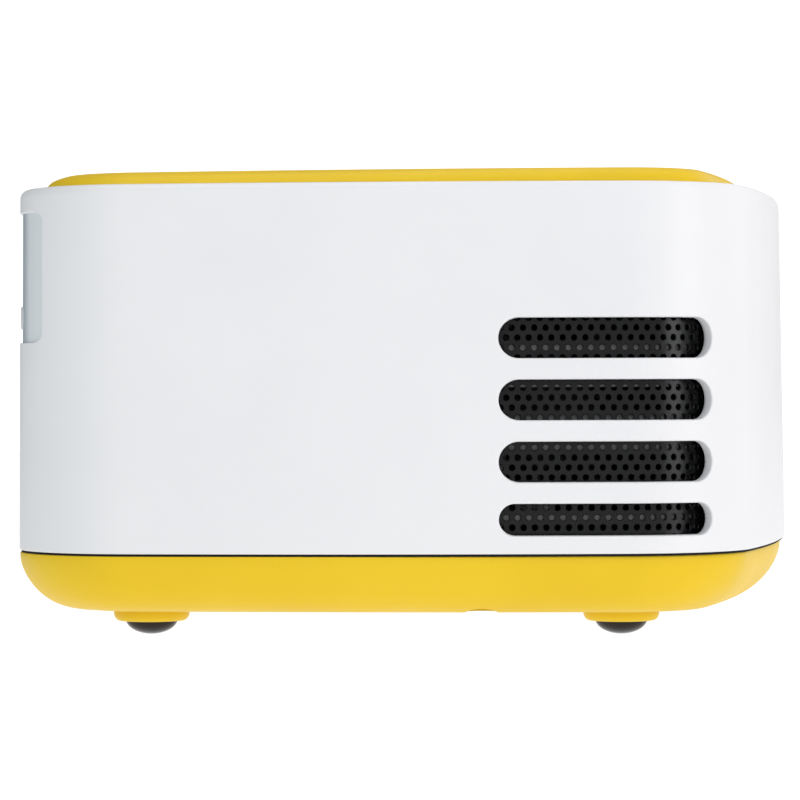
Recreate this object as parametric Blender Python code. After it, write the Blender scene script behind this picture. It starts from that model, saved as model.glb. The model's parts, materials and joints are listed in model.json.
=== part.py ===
# Mini LCD projector in a white shell between a yellow top plate and a yellow tray.
# Metres, +Z up, +X the lens side, -X the socket side, origin under the middle of the case.
import math

import bmesh
import bpy
from mathutils import Vector

# Case plan
body_length = 0.1260
body_depth = 0.0860
side_bow = 0.0028
front_bow = 0.0096
rear_corner_radius = 0.0146
front_corner_radius = 0.0150
blend_start_share = -0.58
blend_end_share = 0.70

# Case heights
dome_height = 0.00135
boss_height = 0.00155
tray_height = 0.00625
seam_gap = 0.00025
shell_height = 0.03935
plate_rise_rear = 0.00135
plate_rise_front = 0.00185

# Walls and fits
wall = 0.0020
fit_gap = 0.0003
seat_gap = 0.0002
overrun = 0.0010
lap_width = 0.0010
lap_depth = 0.0009
front_draft = 0.00058
rim_round = 0.0009

# Tray edge, rear and front
tray_round_rear = 0.0096
tray_round_front = 0.0062
tray_round_height = 0.0056
tray_taper_rear = 0.0001
tray_taper_front = 0.0008
tray_power_rear = 2.44
tray_power_front = 1.75
tray_inner_shares = (0.5, 0.15, 0.0)

# Top plate
plate_inset = 0.0046
plate_recess = 0.0010
plate_edge_round = 0.0011
flange_inset = 0.0075
deck_thickness = 0.0015

# Side slots, measured along the wall from the middle of the side
slot_start = 0.0100
slot_length = 0.0236
slot_rib = 0.00225
slot_last_share = 0.79
slot_top_drop = 0.0144
slot_bottom_rise = 0.0019
slot_count = 4

# Perforated sheet and its frame
mesh_thickness = 0.0004
mesh_pitch = 0.0039
mesh_hole = 0.0022
mesh_margin = 0.0012
frame_depth = 0.0014
frame_rib = 0.0010
frame_end = 0.0012

# Rear recess
recess_depth = 0.00027
recess_low_drop = 0.01675
recess_high_drop = 0.00265
recess_round = 0.0010
recess_wrap = 0.01057

# Feet
foot_rear_inset = 0.0144
foot_front_inset = 0.0200
foot_end_inset = 0.0160
boss_radius = 0.00418
boss_round = 0.0008
dome_radius = 0.00274
dome_flat_radius = 0.0009
pad_pocket_depth = 0.0009

# Case screws
screw_rear_inset = 0.0100
screw_rear_end_inset = 0.0105
screw_mid_x = 0.0080
screw_mid_end_inset = 0.0075
screw_head_radius = 0.0016
screw_head_height = 0.0016
screw_shank_radius = 0.00095
screw_length = 0.0100
counterbore_depth = 0.0040
screw_column_radius = 0.0027
shell_column_height = 0.0110
column_rib = 0.0012

# Tripod insert
insert_radius = 0.0046
insert_bore = 0.00305
insert_length = 0.0060
insert_boss_radius = 0.0066

# Posts of the tray that carry the engine, the board, the fan and the speaker
post_radius = 0.0024
engine_post_inset = 0.0072
board_post_radius = 0.0016
board_post_share = 1 / 3
fan_post_share = 1 / 3

# Optics
barrel_wall = 0.0020
barrel_setback = 0.0055
barrel_length = 0.0235
barrel_reach = 0.0018
barrel_lip = 0.0010
focus_travel = 0.0040
pin_radius = 0.0010
holder_wall = 0.0020
holder_flange_width = 0.0022
holder_flange_thickness = 0.0016
ring_floor_gap = 0.0006
ring_proud = 0.0007
ring_setback = 0.0130
ring_width = 0.0080
ring_lip = 0.0008
ring_wall = 0.0058
ring_groove_depth = 0.0020
ring_tooth_depth = 0.0005
ring_tooth_count = 32
bezel_wall = 0.0026
bezel_edge = 0.0010
bezel_inset = 0.0003
front_lens_thickness = 0.0055
middle_lens_thickness = 0.0039
rear_lens_thickness = 0.0044
lens_edge = 0.0018
middle_lens_inset = 0.0100
rear_lens_inset = 0.0018
engine_board_gap = 0.0040
engine_key_gap = 0.0004
engine_wall = 0.0012
panel_side_gap = 0.0006
fresnel_gap_share = 0.3584
panel_gap_share = 0.2628
panel_thickness = 0.0022
panel_border = 0.0035
panel_window_share = 0.25
fresnel_thickness = 0.0016
groove_depth_share = 1 / 3
mirror_thickness = 0.0012
mirror_side_gap = 0.0016
mirror_end_gap = 0.00194
condenser_setback_share = 0.12365
condenser_thickness = 0.0085
condenser_edge = 0.0015
led_board_size = 0.0200
led_board_thickness = 0.0012
led_chip_size = 0.0070
led_chip_thickness = 0.0010
heat_base = 0.0024
heat_fin_share = 0.19944
heat_fan_gap = 0.0007
heat_fin_thickness = 0.0012
heat_fin_count = 9

# Fan
fan_size = 0.0350
fan_front_inset = 0.0290
fan_floor_gap = 0.0020
fan_depth = 0.0100
fan_end_inset = 0.0130
fan_rim = 0.0013
fan_hub_radius = 0.0068
fan_tip_gap = 0.0006
fan_blade_count = 7
fan_blade_thickness = 0.0007
fan_blade_depth = 0.0050
fan_blade_twist = 0.55
fan_tip_sweep_share = 0.65
fan_hub_height = 0.0068
fan_hub_round = 0.0004
fan_strut_width = 0.0014
fan_strut_thickness = 0.0014
fan_screw_inset = 0.0029
fan_screw_radius = 0.0016

# Speaker
speaker_front_inset = 0.0221
speaker_lift = 0.0177
speaker_radius = 0.0096
speaker_end_inset = 0.0104
speaker_depth = 0.0052
speaker_ring_gap = 0.0005
speaker_rim = 0.0014
magnet_radius = 0.0052
cone_depth = 0.0022
cone_thickness = 0.0004

# Main board and sockets
board_thickness = 0.0012
board_rear_inset = 0.0100
board_end_inset = 0.0170
board_lift = 0.0031
board_top_gap = 0.00225
socket_drop = 0.00925
socket_wall = 0.0004
hdmi_place_share = 0.127
hdmi_width = 0.0150
hdmi_height = 0.0056
hdmi_narrow_share = 0.8
hdmi_corner_share = 1 / 3
hdmi_tongue_share = 0.7
usb_place_share = -0.024
usb_width = 0.0143
usb_height = 0.0066
usb_tongue_share = 0.8
usb_tongue_thickness = 0.0017
usb_tongue_rise = 0.0010
card_place_share = 0.27
card_width = 0.0125
card_height = 0.0026
jack_radius = 0.0031
av_bore = 0.00185
dc_bore = 0.0023
dc_pin_radius = 0.0007
av_place_share = -0.151
dc_place_share = -0.246
tongue_thickness = 0.0012
ir_place_share = -0.3254
ir_drop = 0.01345
ir_width = 0.0070
ir_height = 0.0026
ir_proud = 0.0002
ir_corner_share = 1 / 3
ribbon_share = 0.5

# Button board and buttons
key_board_drop = 0.00275
key_board_thickness = 0.0010
key_board_depth = 0.0340
key_board_length = 0.0700
key_switch_size = 0.0030
key_switch_height = 0.0005
key_travel = 0.0004
key_flange = 0.0008
key_flange_height = 0.00045
key_proud = 0.0007
key_gap = 0.00015
key_edge_round = 0.0003
pad_rear_inset = 0.0310
pad_y = 0.0000
pad_spread = 0.0092
key_radius = 0.0034
ok_radius = 0.0038
side_key_y = 0.0240
side_key_spread = 0.0060
power_radius = 0.0040
light_radius = 0.0008
light_offset = 0.0070

# Values worked out from those above
half_length = body_length / 2
half_depth = body_depth / 2
tray_bottom_z = dome_height + boss_height
seam_z = tray_bottom_z + tray_height
shell_low_z = seam_z + seam_gap
rim_z = shell_low_z + shell_height
recess_floor_z = rim_z - plate_recess
deck_low_z = recess_floor_z - deck_thickness
plate_low_z = recess_floor_z + seat_gap
floor_z = tray_bottom_z + wall
side_radius = (half_depth ** 2 + side_bow ** 2) / (2 * side_bow)
front_radius = (half_length ** 2 + front_bow ** 2) / (2 * front_bow)
slot_top_z = rim_z - slot_top_drop
slot_bottom_z = shell_low_z + slot_bottom_rise
slot_ribs = (slot_count - 1) * slot_rib
slot_height = (slot_top_z - slot_bottom_z - slot_ribs) / (slot_count - 1 + slot_last_share)
slot_last_height = slot_height * slot_last_share
slot_pitch = slot_height + slot_rib

foot_x_rear = foot_rear_inset - half_depth
foot_x_front = half_depth - foot_front_inset
foot_y = half_length - foot_end_inset
screw_x_rear = screw_rear_inset - half_depth
screw_y_rear = half_length - screw_rear_end_inset
screw_y_mid = half_length - screw_mid_end_inset

board_x = board_rear_inset - half_depth
board_length = body_length - 2 * board_end_inset
board_low_z = floor_z + board_lift
board_high_z = deck_low_z - board_top_gap
socket_z = rim_z - socket_drop
hdmi_y = hdmi_place_share * body_length
usb_y = usb_place_share * body_length
card_y = card_place_share * body_length
av_y = av_place_share * body_length
dc_y = dc_place_share * body_length
ir_y = ir_place_share * body_length
ir_z = rim_z - ir_drop
pad_x = pad_rear_inset - half_depth
key_board_low_z = plate_low_z - key_board_drop

plate_front_z = rim_z + plate_rise_front
ring_radius = (plate_front_z + ring_proud - floor_z - ring_floor_gap) / 2
ring_front_x = half_depth - ring_setback
ring_rear_x = ring_front_x - ring_width
speaker_front_y = half_length - speaker_end_inset
lens_y = speaker_front_y - speaker_depth - speaker_ring_gap - ring_radius
lens_z = floor_z + ring_floor_gap + ring_radius
ring_bore = ring_radius - ring_wall
barrel_radius = ring_bore - 2 * fit_gap - holder_wall
barrel_bore = barrel_radius - barrel_wall
barrel_front_x = half_depth - barrel_setback
barrel_rear_x = barrel_front_x - barrel_length
middle_lens_x = barrel_rear_x + middle_lens_inset
rear_lens_x = barrel_rear_x + rear_lens_inset
bezel_radius = barrel_radius + fit_gap + bezel_wall
bezel_mouth_radius = bezel_radius - bezel_edge

fan_x = half_depth - fan_front_inset
fan_z = floor_z + fan_floor_gap + fan_size / 2
fan_near_y = fan_end_inset - half_length
fan_far_y = fan_near_y + fan_depth
fan_bore = fan_size / 2 - fan_rim
speaker_x = half_depth - speaker_front_inset
speaker_z = floor_z + speaker_lift

engine_front_x = barrel_rear_x + barrel_reach
engine_rear_x = board_x + board_thickness + engine_board_gap
engine_x = (engine_front_x + engine_rear_x) / 2
engine_width = engine_front_x - engine_rear_x
engine_height = 2 * (key_board_low_z - engine_key_gap - lens_z)
mirror_length = engine_width - 2 * engine_wall - 2 * mirror_side_gap
mirror_reach = (mirror_length + mirror_thickness) / math.sqrt(8)
engine_far_y = lens_y + mirror_reach + mirror_end_gap + engine_wall
cooling_run = lens_y - mirror_reach - fan_far_y
heat_fin_length = cooling_run * heat_fin_share
engine_near_y = fan_far_y + heat_fan_gap + heat_fin_length + heat_base + seat_gap
heat_height = engine_height + seat_gap
panel_width = engine_width - 2 * engine_wall - 2 * panel_side_gap
panel_height = engine_height - 2 * engine_wall - 2 * seat_gap
condenser_radius = min(panel_width, panel_height) / 2 - seat_gap
condenser_y = engine_near_y + cooling_run * condenser_setback_share
condenser_far_y = condenser_y + condenser_thickness
light_run = lens_y - mirror_reach - condenser_far_y
air_run = light_run - panel_thickness - 2 * fresnel_thickness
fresnel_inner_y = condenser_far_y + air_run * fresnel_gap_share
panel_y = fresnel_inner_y + fresnel_thickness + air_run * panel_gap_share
fresnel_outer_y = panel_y + panel_thickness + air_run * panel_gap_share
holder_flange_x = engine_front_x + seat_gap
holder_step_x = ring_rear_x - fit_gap
holder_front_x = ring_front_x + seat_gap
weld_gap = seat_gap / 1000
cell_weld_gap = mesh_thickness / 20

corner_steps = 5
side_steps = 3
front_steps = 6
wide_steps = 28
round_steps = 22
lens_steps = 18
middle_steps = 13
small_steps = 8
peg_steps = 4
sharp_angle = math.radians(35)


# Scene and materials
def clear_scene():
    for item in list(bpy.data.objects):
        bpy.data.objects.remove(item, do_unlink=True)


def material(name, color, roughness, metallic=0.0):
    made = bpy.data.materials.get(name)
    if made:
        return made
    made = bpy.data.materials.new(name)
    made.use_nodes = True
    shader = made.node_tree.nodes["Principled BSDF"]
    shader.inputs["Base Color"].default_value = (*color, 1.0)
    shader.inputs["Roughness"].default_value = roughness
    shader.inputs["Metallic"].default_value = metallic
    made.diffuse_color = (*color, 1.0)
    return made


def white_plastic():
    return material("white_plastic", (0.80, 0.82, 0.84), 0.35)


def yellow_plastic():
    return material("yellow_plastic", (0.83, 0.56, 0.03), 0.38)


def black_plastic():
    return material("black_plastic", (0.018, 0.018, 0.018), 0.5)


def grey_plastic():
    return material("grey_plastic", (0.16, 0.16, 0.16), 0.55)


def black_steel():
    return material("black_steel", (0.02, 0.02, 0.022), 0.4, 0.6)


def soft_rubber():
    return material("soft_rubber", (0.025, 0.02, 0.018), 0.3)


def optical_glass():
    return material("optical_glass", (0.75, 0.80, 0.85), 0.05)


def silver_mirror():
    return material("silver_mirror", (0.92, 0.92, 0.92), 0.03, 1.0)


def bare_aluminium():
    return material("bare_aluminium", (0.70, 0.70, 0.72), 0.35, 1.0)


def plated_steel():
    return material("plated_steel", (0.60, 0.60, 0.62), 0.25, 1.0)


def turned_brass():
    return material("turned_brass", (0.72, 0.50, 0.20), 0.3, 1.0)


def board_laminate():
    return material("board_laminate", (0.02, 0.16, 0.06), 0.45)


def led_phosphor():
    return material("led_phosphor", (0.85, 0.75, 0.20), 0.5)


def paper_cone():
    return material("paper_cone", (0.05, 0.05, 0.05), 0.8)


def ribbon_film():
    return material("ribbon_film", (0.45, 0.25, 0.05), 0.4)


# Mesh helpers
def finish(name, mesh_data, finish_material, location=(0, 0, 0)):
    bmesh.ops.remove_doubles(mesh_data, verts=mesh_data.verts, dist=weld_gap)
    bmesh.ops.recalc_face_normals(mesh_data, faces=mesh_data.faces)
    mesh = bpy.data.meshes.new(name)
    mesh_data.to_mesh(mesh)
    mesh_data.free()
    mesh.shade_smooth()
    mesh.set_sharp_from_angle(angle=sharp_angle)
    piece = bpy.data.objects.new(name, mesh)
    bpy.context.collection.objects.link(piece)
    piece.location = location
    if finish_material:
        mesh.materials.append(finish_material)
    return piece


def place(axis, along, first, second):
    if axis == "X":
        return Vector((along, first, second))
    if axis == "Y":
        return Vector((first, along, second))
    return Vector((first, second, along))


def prism(name, outline, axis, low, high, finish_material=None, location=(0, 0, 0)):
    shape = bmesh.new()
    base = [shape.verts.new(place(axis, low, first, second)) for first, second in outline]
    face = shape.faces.new(base)
    grown = bmesh.ops.extrude_face_region(shape, geom=[face])
    moved = [item for item in grown["geom"] if isinstance(item, bmesh.types.BMVert)]
    bmesh.ops.translate(shape, verts=moved, vec=place(axis, high - low, 0, 0))
    return finish(name, shape, finish_material, location)


def turned(name, profile, axis, steps, finish_material=None, location=(0, 0, 0)):
    shape = bmesh.new()
    points = [shape.verts.new(place(axis, along, radius, 0)) for along, radius in profile]
    edges = [shape.edges.new(pair) for pair in zip(points, points[1:])]
    if profile[0][1] > 0 and profile[-1][1] > 0:
        edges.append(shape.edges.new((points[-1], points[0])))
    bmesh.ops.spin(
        shape, geom=points + edges, cent=(0, 0, 0), axis=place(axis, 1, 0, 0),
        angle=math.tau, steps=steps, use_merge=True)
    return finish(name, shape, finish_material, location)


def rectangle(width, height, middle=(0, 0)):
    across, up = width / 2, height / 2
    corners = ((-across, -up), (across, -up), (across, up), (-across, up))
    return [(middle[0] + first, middle[1] + second) for first, second in corners]


def rounded_rectangle(width, height, radius, middle=(0, 0), steps=4):
    points = []
    corners = ((1, 1, 0), (-1, 1, 1), (-1, -1, 2), (1, -1, 3))
    for side, level, quarter in corners:
        center = (middle[0] + side * (width / 2 - radius), middle[1] + level * (height / 2 - radius))
        for step in range(steps + 1):
            angle = (quarter + step / steps) * math.pi / 2
            points.append((center[0] + radius * math.cos(angle), center[1] + radius * math.sin(angle)))
    return points


def circle(radius, steps, middle=(0, 0)):
    turns = [math.tau * step / steps for step in range(steps)]
    return [(middle[0] + radius * math.cos(turn), middle[1] + radius * math.sin(turn)) for turn in turns]


def block(name, low, high, finish_material=None):
    middle = ((low[0] + high[0]) / 2, (low[1] + high[1]) / 2)
    outline = rectangle(high[0] - low[0], high[1] - low[1], middle)
    return prism(name, outline, "Z", low[2], high[2], finish_material)


def loft(name, rings, finish_material=None, closed=False):
    shape = bmesh.new()
    rows = [[shape.verts.new(point) for point in ring] for ring in rings]
    pairs = list(zip(rows, rows[1:]))
    if closed:
        pairs.append((rows[-1], rows[0]))
    count = len(rows[0])
    for lower, upper in pairs:
        for index in range(count):
            after = (index + 1) % count
            shape.faces.new((lower[index], lower[after], upper[after], upper[index]))
    if not closed:
        shape.faces.new(rows[0])
        shape.faces.new(rows[-1])
    return finish(name, shape, finish_material)


def guide(piece):
    piece.hide_render = True
    piece.display_type = "WIRE"
    return piece


def combine(target, operation, pieces):
    for piece in pieces:
        guide(piece)
        step = target.modifiers.new(piece.name, "BOOLEAN")
        step.operation = operation
        step.solver = "EXACT"
        step.object = piece
    return target


def cut(target, *pieces):
    return combine(target, "DIFFERENCE", pieces)


def join(target, *pieces):
    return combine(target, "UNION", pieces)


# Case plan as arcs, from the middle of the rear round the near side to the middle of the front
def fillet_center(radius, other_center, other_radius, side_center):
    apart = Vector(other_center) - Vector(side_center)
    distance = apart.length
    from_side = side_radius - radius
    from_other = other_radius - radius
    along = (from_side ** 2 - from_other ** 2 + distance ** 2) / (2 * distance)
    aside = math.sqrt(from_side ** 2 - along ** 2)
    unit = apart / distance
    return Vector(side_center) + unit * along + Vector((-unit.y, unit.x)) * aside


def near_arcs():
    side_center = Vector((0, -half_length + side_radius))
    front_center = Vector((half_depth - front_radius, 0))
    rear_x = -half_depth + rear_corner_radius
    reach = side_radius - rear_corner_radius
    rear_center = Vector((rear_x, side_center.y - math.sqrt(reach ** 2 - rear_x ** 2)))
    corner_center = fillet_center(front_corner_radius, front_center, front_radius, side_center)
    to_rear = (rear_center - side_center).normalized()
    to_corner = (corner_center - side_center).normalized()
    to_front = (corner_center - front_center).normalized()
    rear_angle = math.atan2(to_rear.y, to_rear.x)
    side_angle = math.atan2(to_corner.y, to_corner.x)
    front_angle = math.atan2(to_front.y, to_front.x)
    return (
        (rear_center, rear_corner_radius, -math.pi, rear_angle, corner_steps),
        (side_center, side_radius, rear_angle, side_angle, side_steps),
        (corner_center, front_corner_radius, side_angle, front_angle, corner_steps),
        (front_center, front_radius, front_angle, 0.0, front_steps // 2),
    )


arcs = near_arcs()
rear_run = -arcs[0][0].y
recess_reach = rear_run + recess_wrap
arc_lengths = [radius * (last - first) for center, radius, first, last, steps in arcs]
side_middle_run = rear_run + arc_lengths[0] + side_radius * (-math.pi / 2 - arcs[1][2])


def wall_point(run, inset):
    # run is measured along the outer wall from the middle of the rear
    if run <= rear_run:
        return Vector((-half_depth + inset, -run))
    left = run - rear_run
    for (center, radius, first, last, steps), length in zip(arcs, arc_lengths):
        if left <= length or radius == front_radius:
            angle = first + left / radius
            return center + (radius - inset) * Vector((math.cos(angle), math.sin(angle)))
        left -= length
    return Vector((half_depth - inset, 0))


def front_blend(x):
    low = blend_start_share * half_depth
    high = blend_end_share * half_depth
    share = min(max((x - low) / (high - low), 0), 1)
    return share * share * (3 - 2 * share)


def plan_ring(z, rear_inset, front_inset=None):
    front_inset = rear_inset if front_inset is None else front_inset
    near = []
    for index, (center, radius, first, last, steps) in enumerate(arcs):
        for step in range(steps + 1):
            if step == 0 and index > 0:
                continue
            angle = first + (last - first) * step / steps
            direction = Vector((math.cos(angle), math.sin(angle)))
            share = front_blend((center + radius * direction).x)
            inset = rear_inset + (front_inset - rear_inset) * share
            near.append(center + (radius - inset) * direction)
    far = [Vector((point.x, -point.y)) for point in reversed(near[:-1])]
    return [(point.x, point.y, z) for point in near + far]


def tray_inset(z, taper, reach, power):
    up = min(max((z - tray_bottom_z) / tray_round_height, 0), 1)
    return taper + reach * (1 - (1 - (1 - up) ** power) ** (1 / power))


def tray_ring(z, extra=0.0, at=None):
    level = z if at is None else at
    rear = tray_inset(level, tray_taper_rear, tray_round_rear, tray_power_rear)
    front = tray_inset(level, tray_taper_front, tray_round_front, tray_power_front)
    return plan_ring(z, rear + extra, front + extra)


# Cutter or sheet that follows the near wall, mirrored to the far one when side is 1
def wall_band(name, runs, half_heights, middle_z, outer, inner, side=-1, finish_material=None):
    shape = bmesh.new()
    rows = []
    for run, half in zip(runs, half_heights):
        out = wall_point(run, outer)
        back = wall_point(run, inner)
        places = ((out, half), (out, -half), (back, -half), (back, half))
        rows.append([shape.verts.new((p.x, p.y * -side, middle_z + h)) for p, h in places])
    for before, after in zip(rows, rows[1:]):
        for index in range(4):
            other = (index + 1) % 4
            shape.faces.new((before[index], before[other], after[other], after[index]))
    shape.faces.new(rows[0])
    shape.faces.new(rows[-1])
    return finish(name, shape, finish_material)


def rounded_runs(start, length, height, radius, end_steps=3, straight_steps=4):
    runs, halves = [], []
    for step in range(end_steps + 1):
        angle = math.pi / 2 * step / end_steps
        runs.append(start + radius * (1 - math.cos(angle)))
        halves.append(height / 2 - radius + radius * math.sin(angle))
    inner_start = start + radius
    inner_length = length - 2 * radius
    for step in range(1, straight_steps):
        runs.append(inner_start + inner_length * step / straight_steps)
        halves.append(height / 2)
    for step in range(end_steps + 1):
        angle = math.pi / 2 * (1 - step / end_steps)
        runs.append(start + length - radius * (1 - math.cos(angle)))
        halves.append(height / 2 - radius + radius * math.sin(angle))
    return runs, halves


def slot_place(index):
    height = slot_height if index < slot_count - 1 else slot_last_height
    return slot_top_z - index * slot_pitch - height / 2, height


# Main shell
def shell_body():
    lip_z = shell_low_z + lap_depth
    rounding = []
    for step in range(3):
        angle = math.pi / 2 * step / 2
        inset = rim_round * (1 - math.cos(angle))
        level = rim_z - rim_round + rim_round * math.sin(angle)
        rounding.append(plan_ring(level, inset, front_draft + inset))
    recess_inset = plate_inset - key_gap
    rings = [plan_ring(shell_low_z, 0, 0)]
    rings += rounding
    rings.append(plan_ring(rim_z, recess_inset))
    rings.append(plan_ring(recess_floor_z, recess_inset))
    rings.append(plan_ring(recess_floor_z, flange_inset))
    rings.append(plan_ring(deck_low_z, flange_inset))
    rings.append(plan_ring(deck_low_z, wall, wall + front_draft))
    rings.append(plan_ring(lip_z, wall))
    rings.append(plan_ring(lip_z, lap_width))
    rings.append(plan_ring(shell_low_z, lap_width))
    return loft("main_shell", rings, white_plastic(), closed=True)


def screw_places():
    for side in (-1, 1):
        yield screw_x_rear, side * screw_y_rear
        yield screw_mid_x, side * screw_y_mid


def side_wall_y(x):
    # distance from the middle to half way through the side wall
    center, radius = arcs[1][0], arcs[1][1] - wall / 2
    return math.sqrt(radius ** 2 - (x - center.x) ** 2) - center.y


def corner_wall_x(y):
    # half way through the wall of the rear corner
    center, radius = arcs[0][0], arcs[0][1] - wall / 2
    return center.x - math.sqrt(radius ** 2 - (abs(y) + center.y) ** 2)


def shell_columns():
    # pillars that take the case screws, each with a rib to the wall
    pieces = []
    low = shell_low_z + seat_gap
    high = shell_low_z + shell_column_height
    for index, (x, y) in enumerate(screw_places()):
        column = prism(f"shell_column_{index}", circle(screw_column_radius, small_steps, (x, y)),
                       "Z", low, high)
        if x == screw_mid_x:
            reach = math.copysign(side_wall_y(x), y)
            rib_low = (x - column_rib / 2, min(y, reach), low + overrun)
            rib_high = (x + column_rib / 2, max(y, reach), high - overrun)
        else:
            rib_low = (corner_wall_x(y), y - column_rib / 2, low + overrun)
            rib_high = (x, y + column_rib / 2, high - overrun)
        pieces += [column, block(f"shell_column_rib_{index}", rib_low, rib_high)]
    return pieces


def main_shell():
    shell = shell_body()
    join(shell, *shell_columns())
    pilot = screw_shank_radius + seat_gap
    for index, (x, y) in enumerate(screw_places()):
        low = shell_low_z - overrun
        high = tray_bottom_z + counterbore_depth + screw_length + seat_gap
        cut(shell, prism(f"pilot_{index}", circle(pilot, small_steps, (x, y)), "Z", low, high))
    for side, word in ((-1, "near"), (1, "far")):
        for index in range(slot_count):
            middle_z, height = slot_place(index)
            runs, halves = rounded_runs(side_middle_run + slot_start, slot_length, height, height / 2)
            cut(shell, wall_band(f"slot_{word}_{index}", runs, halves, middle_z,
                                 -overrun, wall + front_draft + overrun, side))
    window = circle(bezel_radius + fit_gap, wide_steps)
    cut(shell, prism("lens_window", window, "X", holder_front_x, half_depth + overrun,
                     None, (0, lens_y, lens_z)))
    cut(shell, recess_cutter())
    for index, (y, z, outline) in enumerate(socket_outlines(fit_gap)):
        cut(shell, prism(f"socket_hole_{index}", outline, "X", -half_depth - overrun,
                         -half_depth + wall + overrun, None, (0, y, z)))


def recess_cutter():
    # flat across the rear, then in short steps round both corners, with rounded ends
    high_z = rim_z - recess_high_drop
    low_z = rim_z - recess_low_drop
    middle_z, half_height = (high_z + low_z) / 2, (high_z - low_z) / 2
    bend = recess_reach - recess_round - rear_run
    turns = [(recess_reach, half_height - recess_round)]
    for step in range(corner_steps, -1, -1):
        turns.append((rear_run + bend * step / corner_steps, half_height))
    stops = [(-run, half) for run, half in turns] + turns[::-1]
    shape = bmesh.new()
    rows = []
    for run, half in stops:
        side = 1 if run < 0 else -1
        out = wall_point(abs(run), -overrun)
        back = wall_point(abs(run), recess_depth)
        places = ((out, half), (out, -half), (back, -half), (back, half))
        rows.append([shape.verts.new((p.x, -p.y * side, middle_z + h)) for p, h in places])
    for before, after in zip(rows, rows[1:]):
        for index in range(4):
            other = (index + 1) % 4
            shape.faces.new((before[index], before[other], after[other], after[index]))
    shape.faces.new(rows[0])
    shape.faces.new(rows[-1])
    return finish("rear_recess", shape, None)


# Top plate
def plate_top(x):
    share = (x + half_depth) / body_depth
    return rim_z + plate_rise_rear + (plate_rise_front - plate_rise_rear) * share


def plate_ring(inset, drop):
    return [(x, y, plate_top(x) - drop) for x, y, z in plan_ring(0, inset)]


def top_plate():
    rings = [plan_ring(plate_low_z, plate_inset), plan_ring(rim_z, plate_inset)]
    for step in range(4):
        angle = math.pi / 2 * step / 3
        inset = plate_inset + plate_edge_round * (1 - math.cos(angle))
        rings.append(plate_ring(inset, plate_edge_round * (1 - math.sin(angle))))
    plate = loft("top_plate", rings, yellow_plastic())
    slot_half = math.sqrt(ring_radius ** 2 - (plate_low_z - lens_z) ** 2) + fit_gap
    slot_middle = (ring_rear_x + ring_front_x) / 2
    outline = rounded_rectangle(ring_front_x - ring_rear_x + 2 * fit_gap, 2 * slot_half + 2 * fit_gap,
                                lap_width, (slot_middle, lens_y), 2)
    low, high = plate_low_z - overrun, plate_front_z + overrun
    cut(plate, prism("focus_slot", outline, "Z", low, high))
    for name, x, y, radius in keys():
        cut(plate, prism(f"{name}_hole", circle(radius + key_gap, middle_steps, (x, y)), "Z", low, high))
    x, y = light_place()
    cut(plate, prism("light_hole", circle(light_radius + key_gap, peg_steps, (x, y)), "Z", low, high))
    post_low = key_board_low_z + key_board_thickness + seat_gap
    for index, side in enumerate((-1, 1)):
        y = side * (key_board_length / 2 - lap_width - wall)
        post = prism(f"plate_post_{index}", circle(wall, peg_steps, (pad_x, y)), "Z",
                     post_low, plate_low_z + overrun)
        join(plate, post)


# Bottom tray
def bottom_tray():
    rings = [tray_ring(tray_bottom_z)]
    count = 5
    for step in range(1, count + 1):
        share = 1 - math.cos(math.pi / 2 * step / count)
        rings.append(tray_ring(tray_bottom_z + tray_round_height * share))
    step_z = seam_z - lap_depth
    rings.append(plan_ring(seam_z, 0))
    rings.append(plan_ring(seam_z, lap_width))
    rings.append(plan_ring(step_z, lap_width))
    rings.append(plan_ring(step_z, wall, wall + tray_taper_front))
    for share in tray_inner_shares:
        z = floor_z + (step_z - floor_z) * share
        rings.append(tray_ring(z, wall, z - wall))
    tray = loft("bottom_tray", rings, yellow_plastic())
    for index, (x, y) in enumerate(foot_places()):
        profile = [(floor_z - overrun, 0), (floor_z - overrun, boss_radius),
                   (dome_height + boss_round, boss_radius)]
        for step in range(1, 3):
            angle = math.pi / 2 * step / 2
            profile.append((dome_height + boss_round * (1 - math.sin(angle)),
                            boss_radius - boss_round * (1 - math.cos(angle))))
        pocket_top = dome_height + pad_pocket_depth + seat_gap
        pocket_radius = dome_radius + seat_gap
        profile += [(dome_height, pocket_radius), (pocket_top, pocket_radius), (pocket_top, 0)]
        join(tray, turned(f"foot_boss_{index}", profile, "Z", middle_steps, None, (x, y, 0)))
    low = tray_bottom_z + wall / 2
    for index, (x, y) in enumerate(screw_places()):
        outline = circle(screw_column_radius + seat_gap, small_steps, (x, y))
        join(tray, prism(f"tray_column_{index}", outline, "Z", low, seam_z))
    outline = circle(insert_boss_radius, middle_steps)
    join(tray, prism("insert_boss", outline, "Z", low, tray_bottom_z + insert_length + wall))
    for index, (x, y, top, radius) in enumerate(tray_posts()):
        join(tray, prism(f"tray_post_{index}", circle(radius, peg_steps, (x, y)), "Z", low, top))
    for index, (x, y) in enumerate(screw_places()):
        wide = circle(screw_head_radius + seat_gap, small_steps, (x, y))
        cut(tray, prism(f"counterbore_{index}", wide, "Z", -overrun, tray_bottom_z + counterbore_depth))
        slim = circle(screw_shank_radius + seat_gap, small_steps, (x, y))
        cut(tray, prism(f"screw_bore_{index}", slim, "Z", tray_bottom_z, shell_low_z + overrun))
    outline = circle(insert_radius + seat_gap, middle_steps)
    cut(tray, prism("insert_pocket", outline, "Z", -overrun, tray_bottom_z + insert_length + seat_gap))


def foot_places():
    return [(x, side * foot_y) for x in (foot_x_rear, foot_x_front) for side in (-1, 1)]


def engine_low_z():
    return lens_z - engine_height / 2


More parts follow.
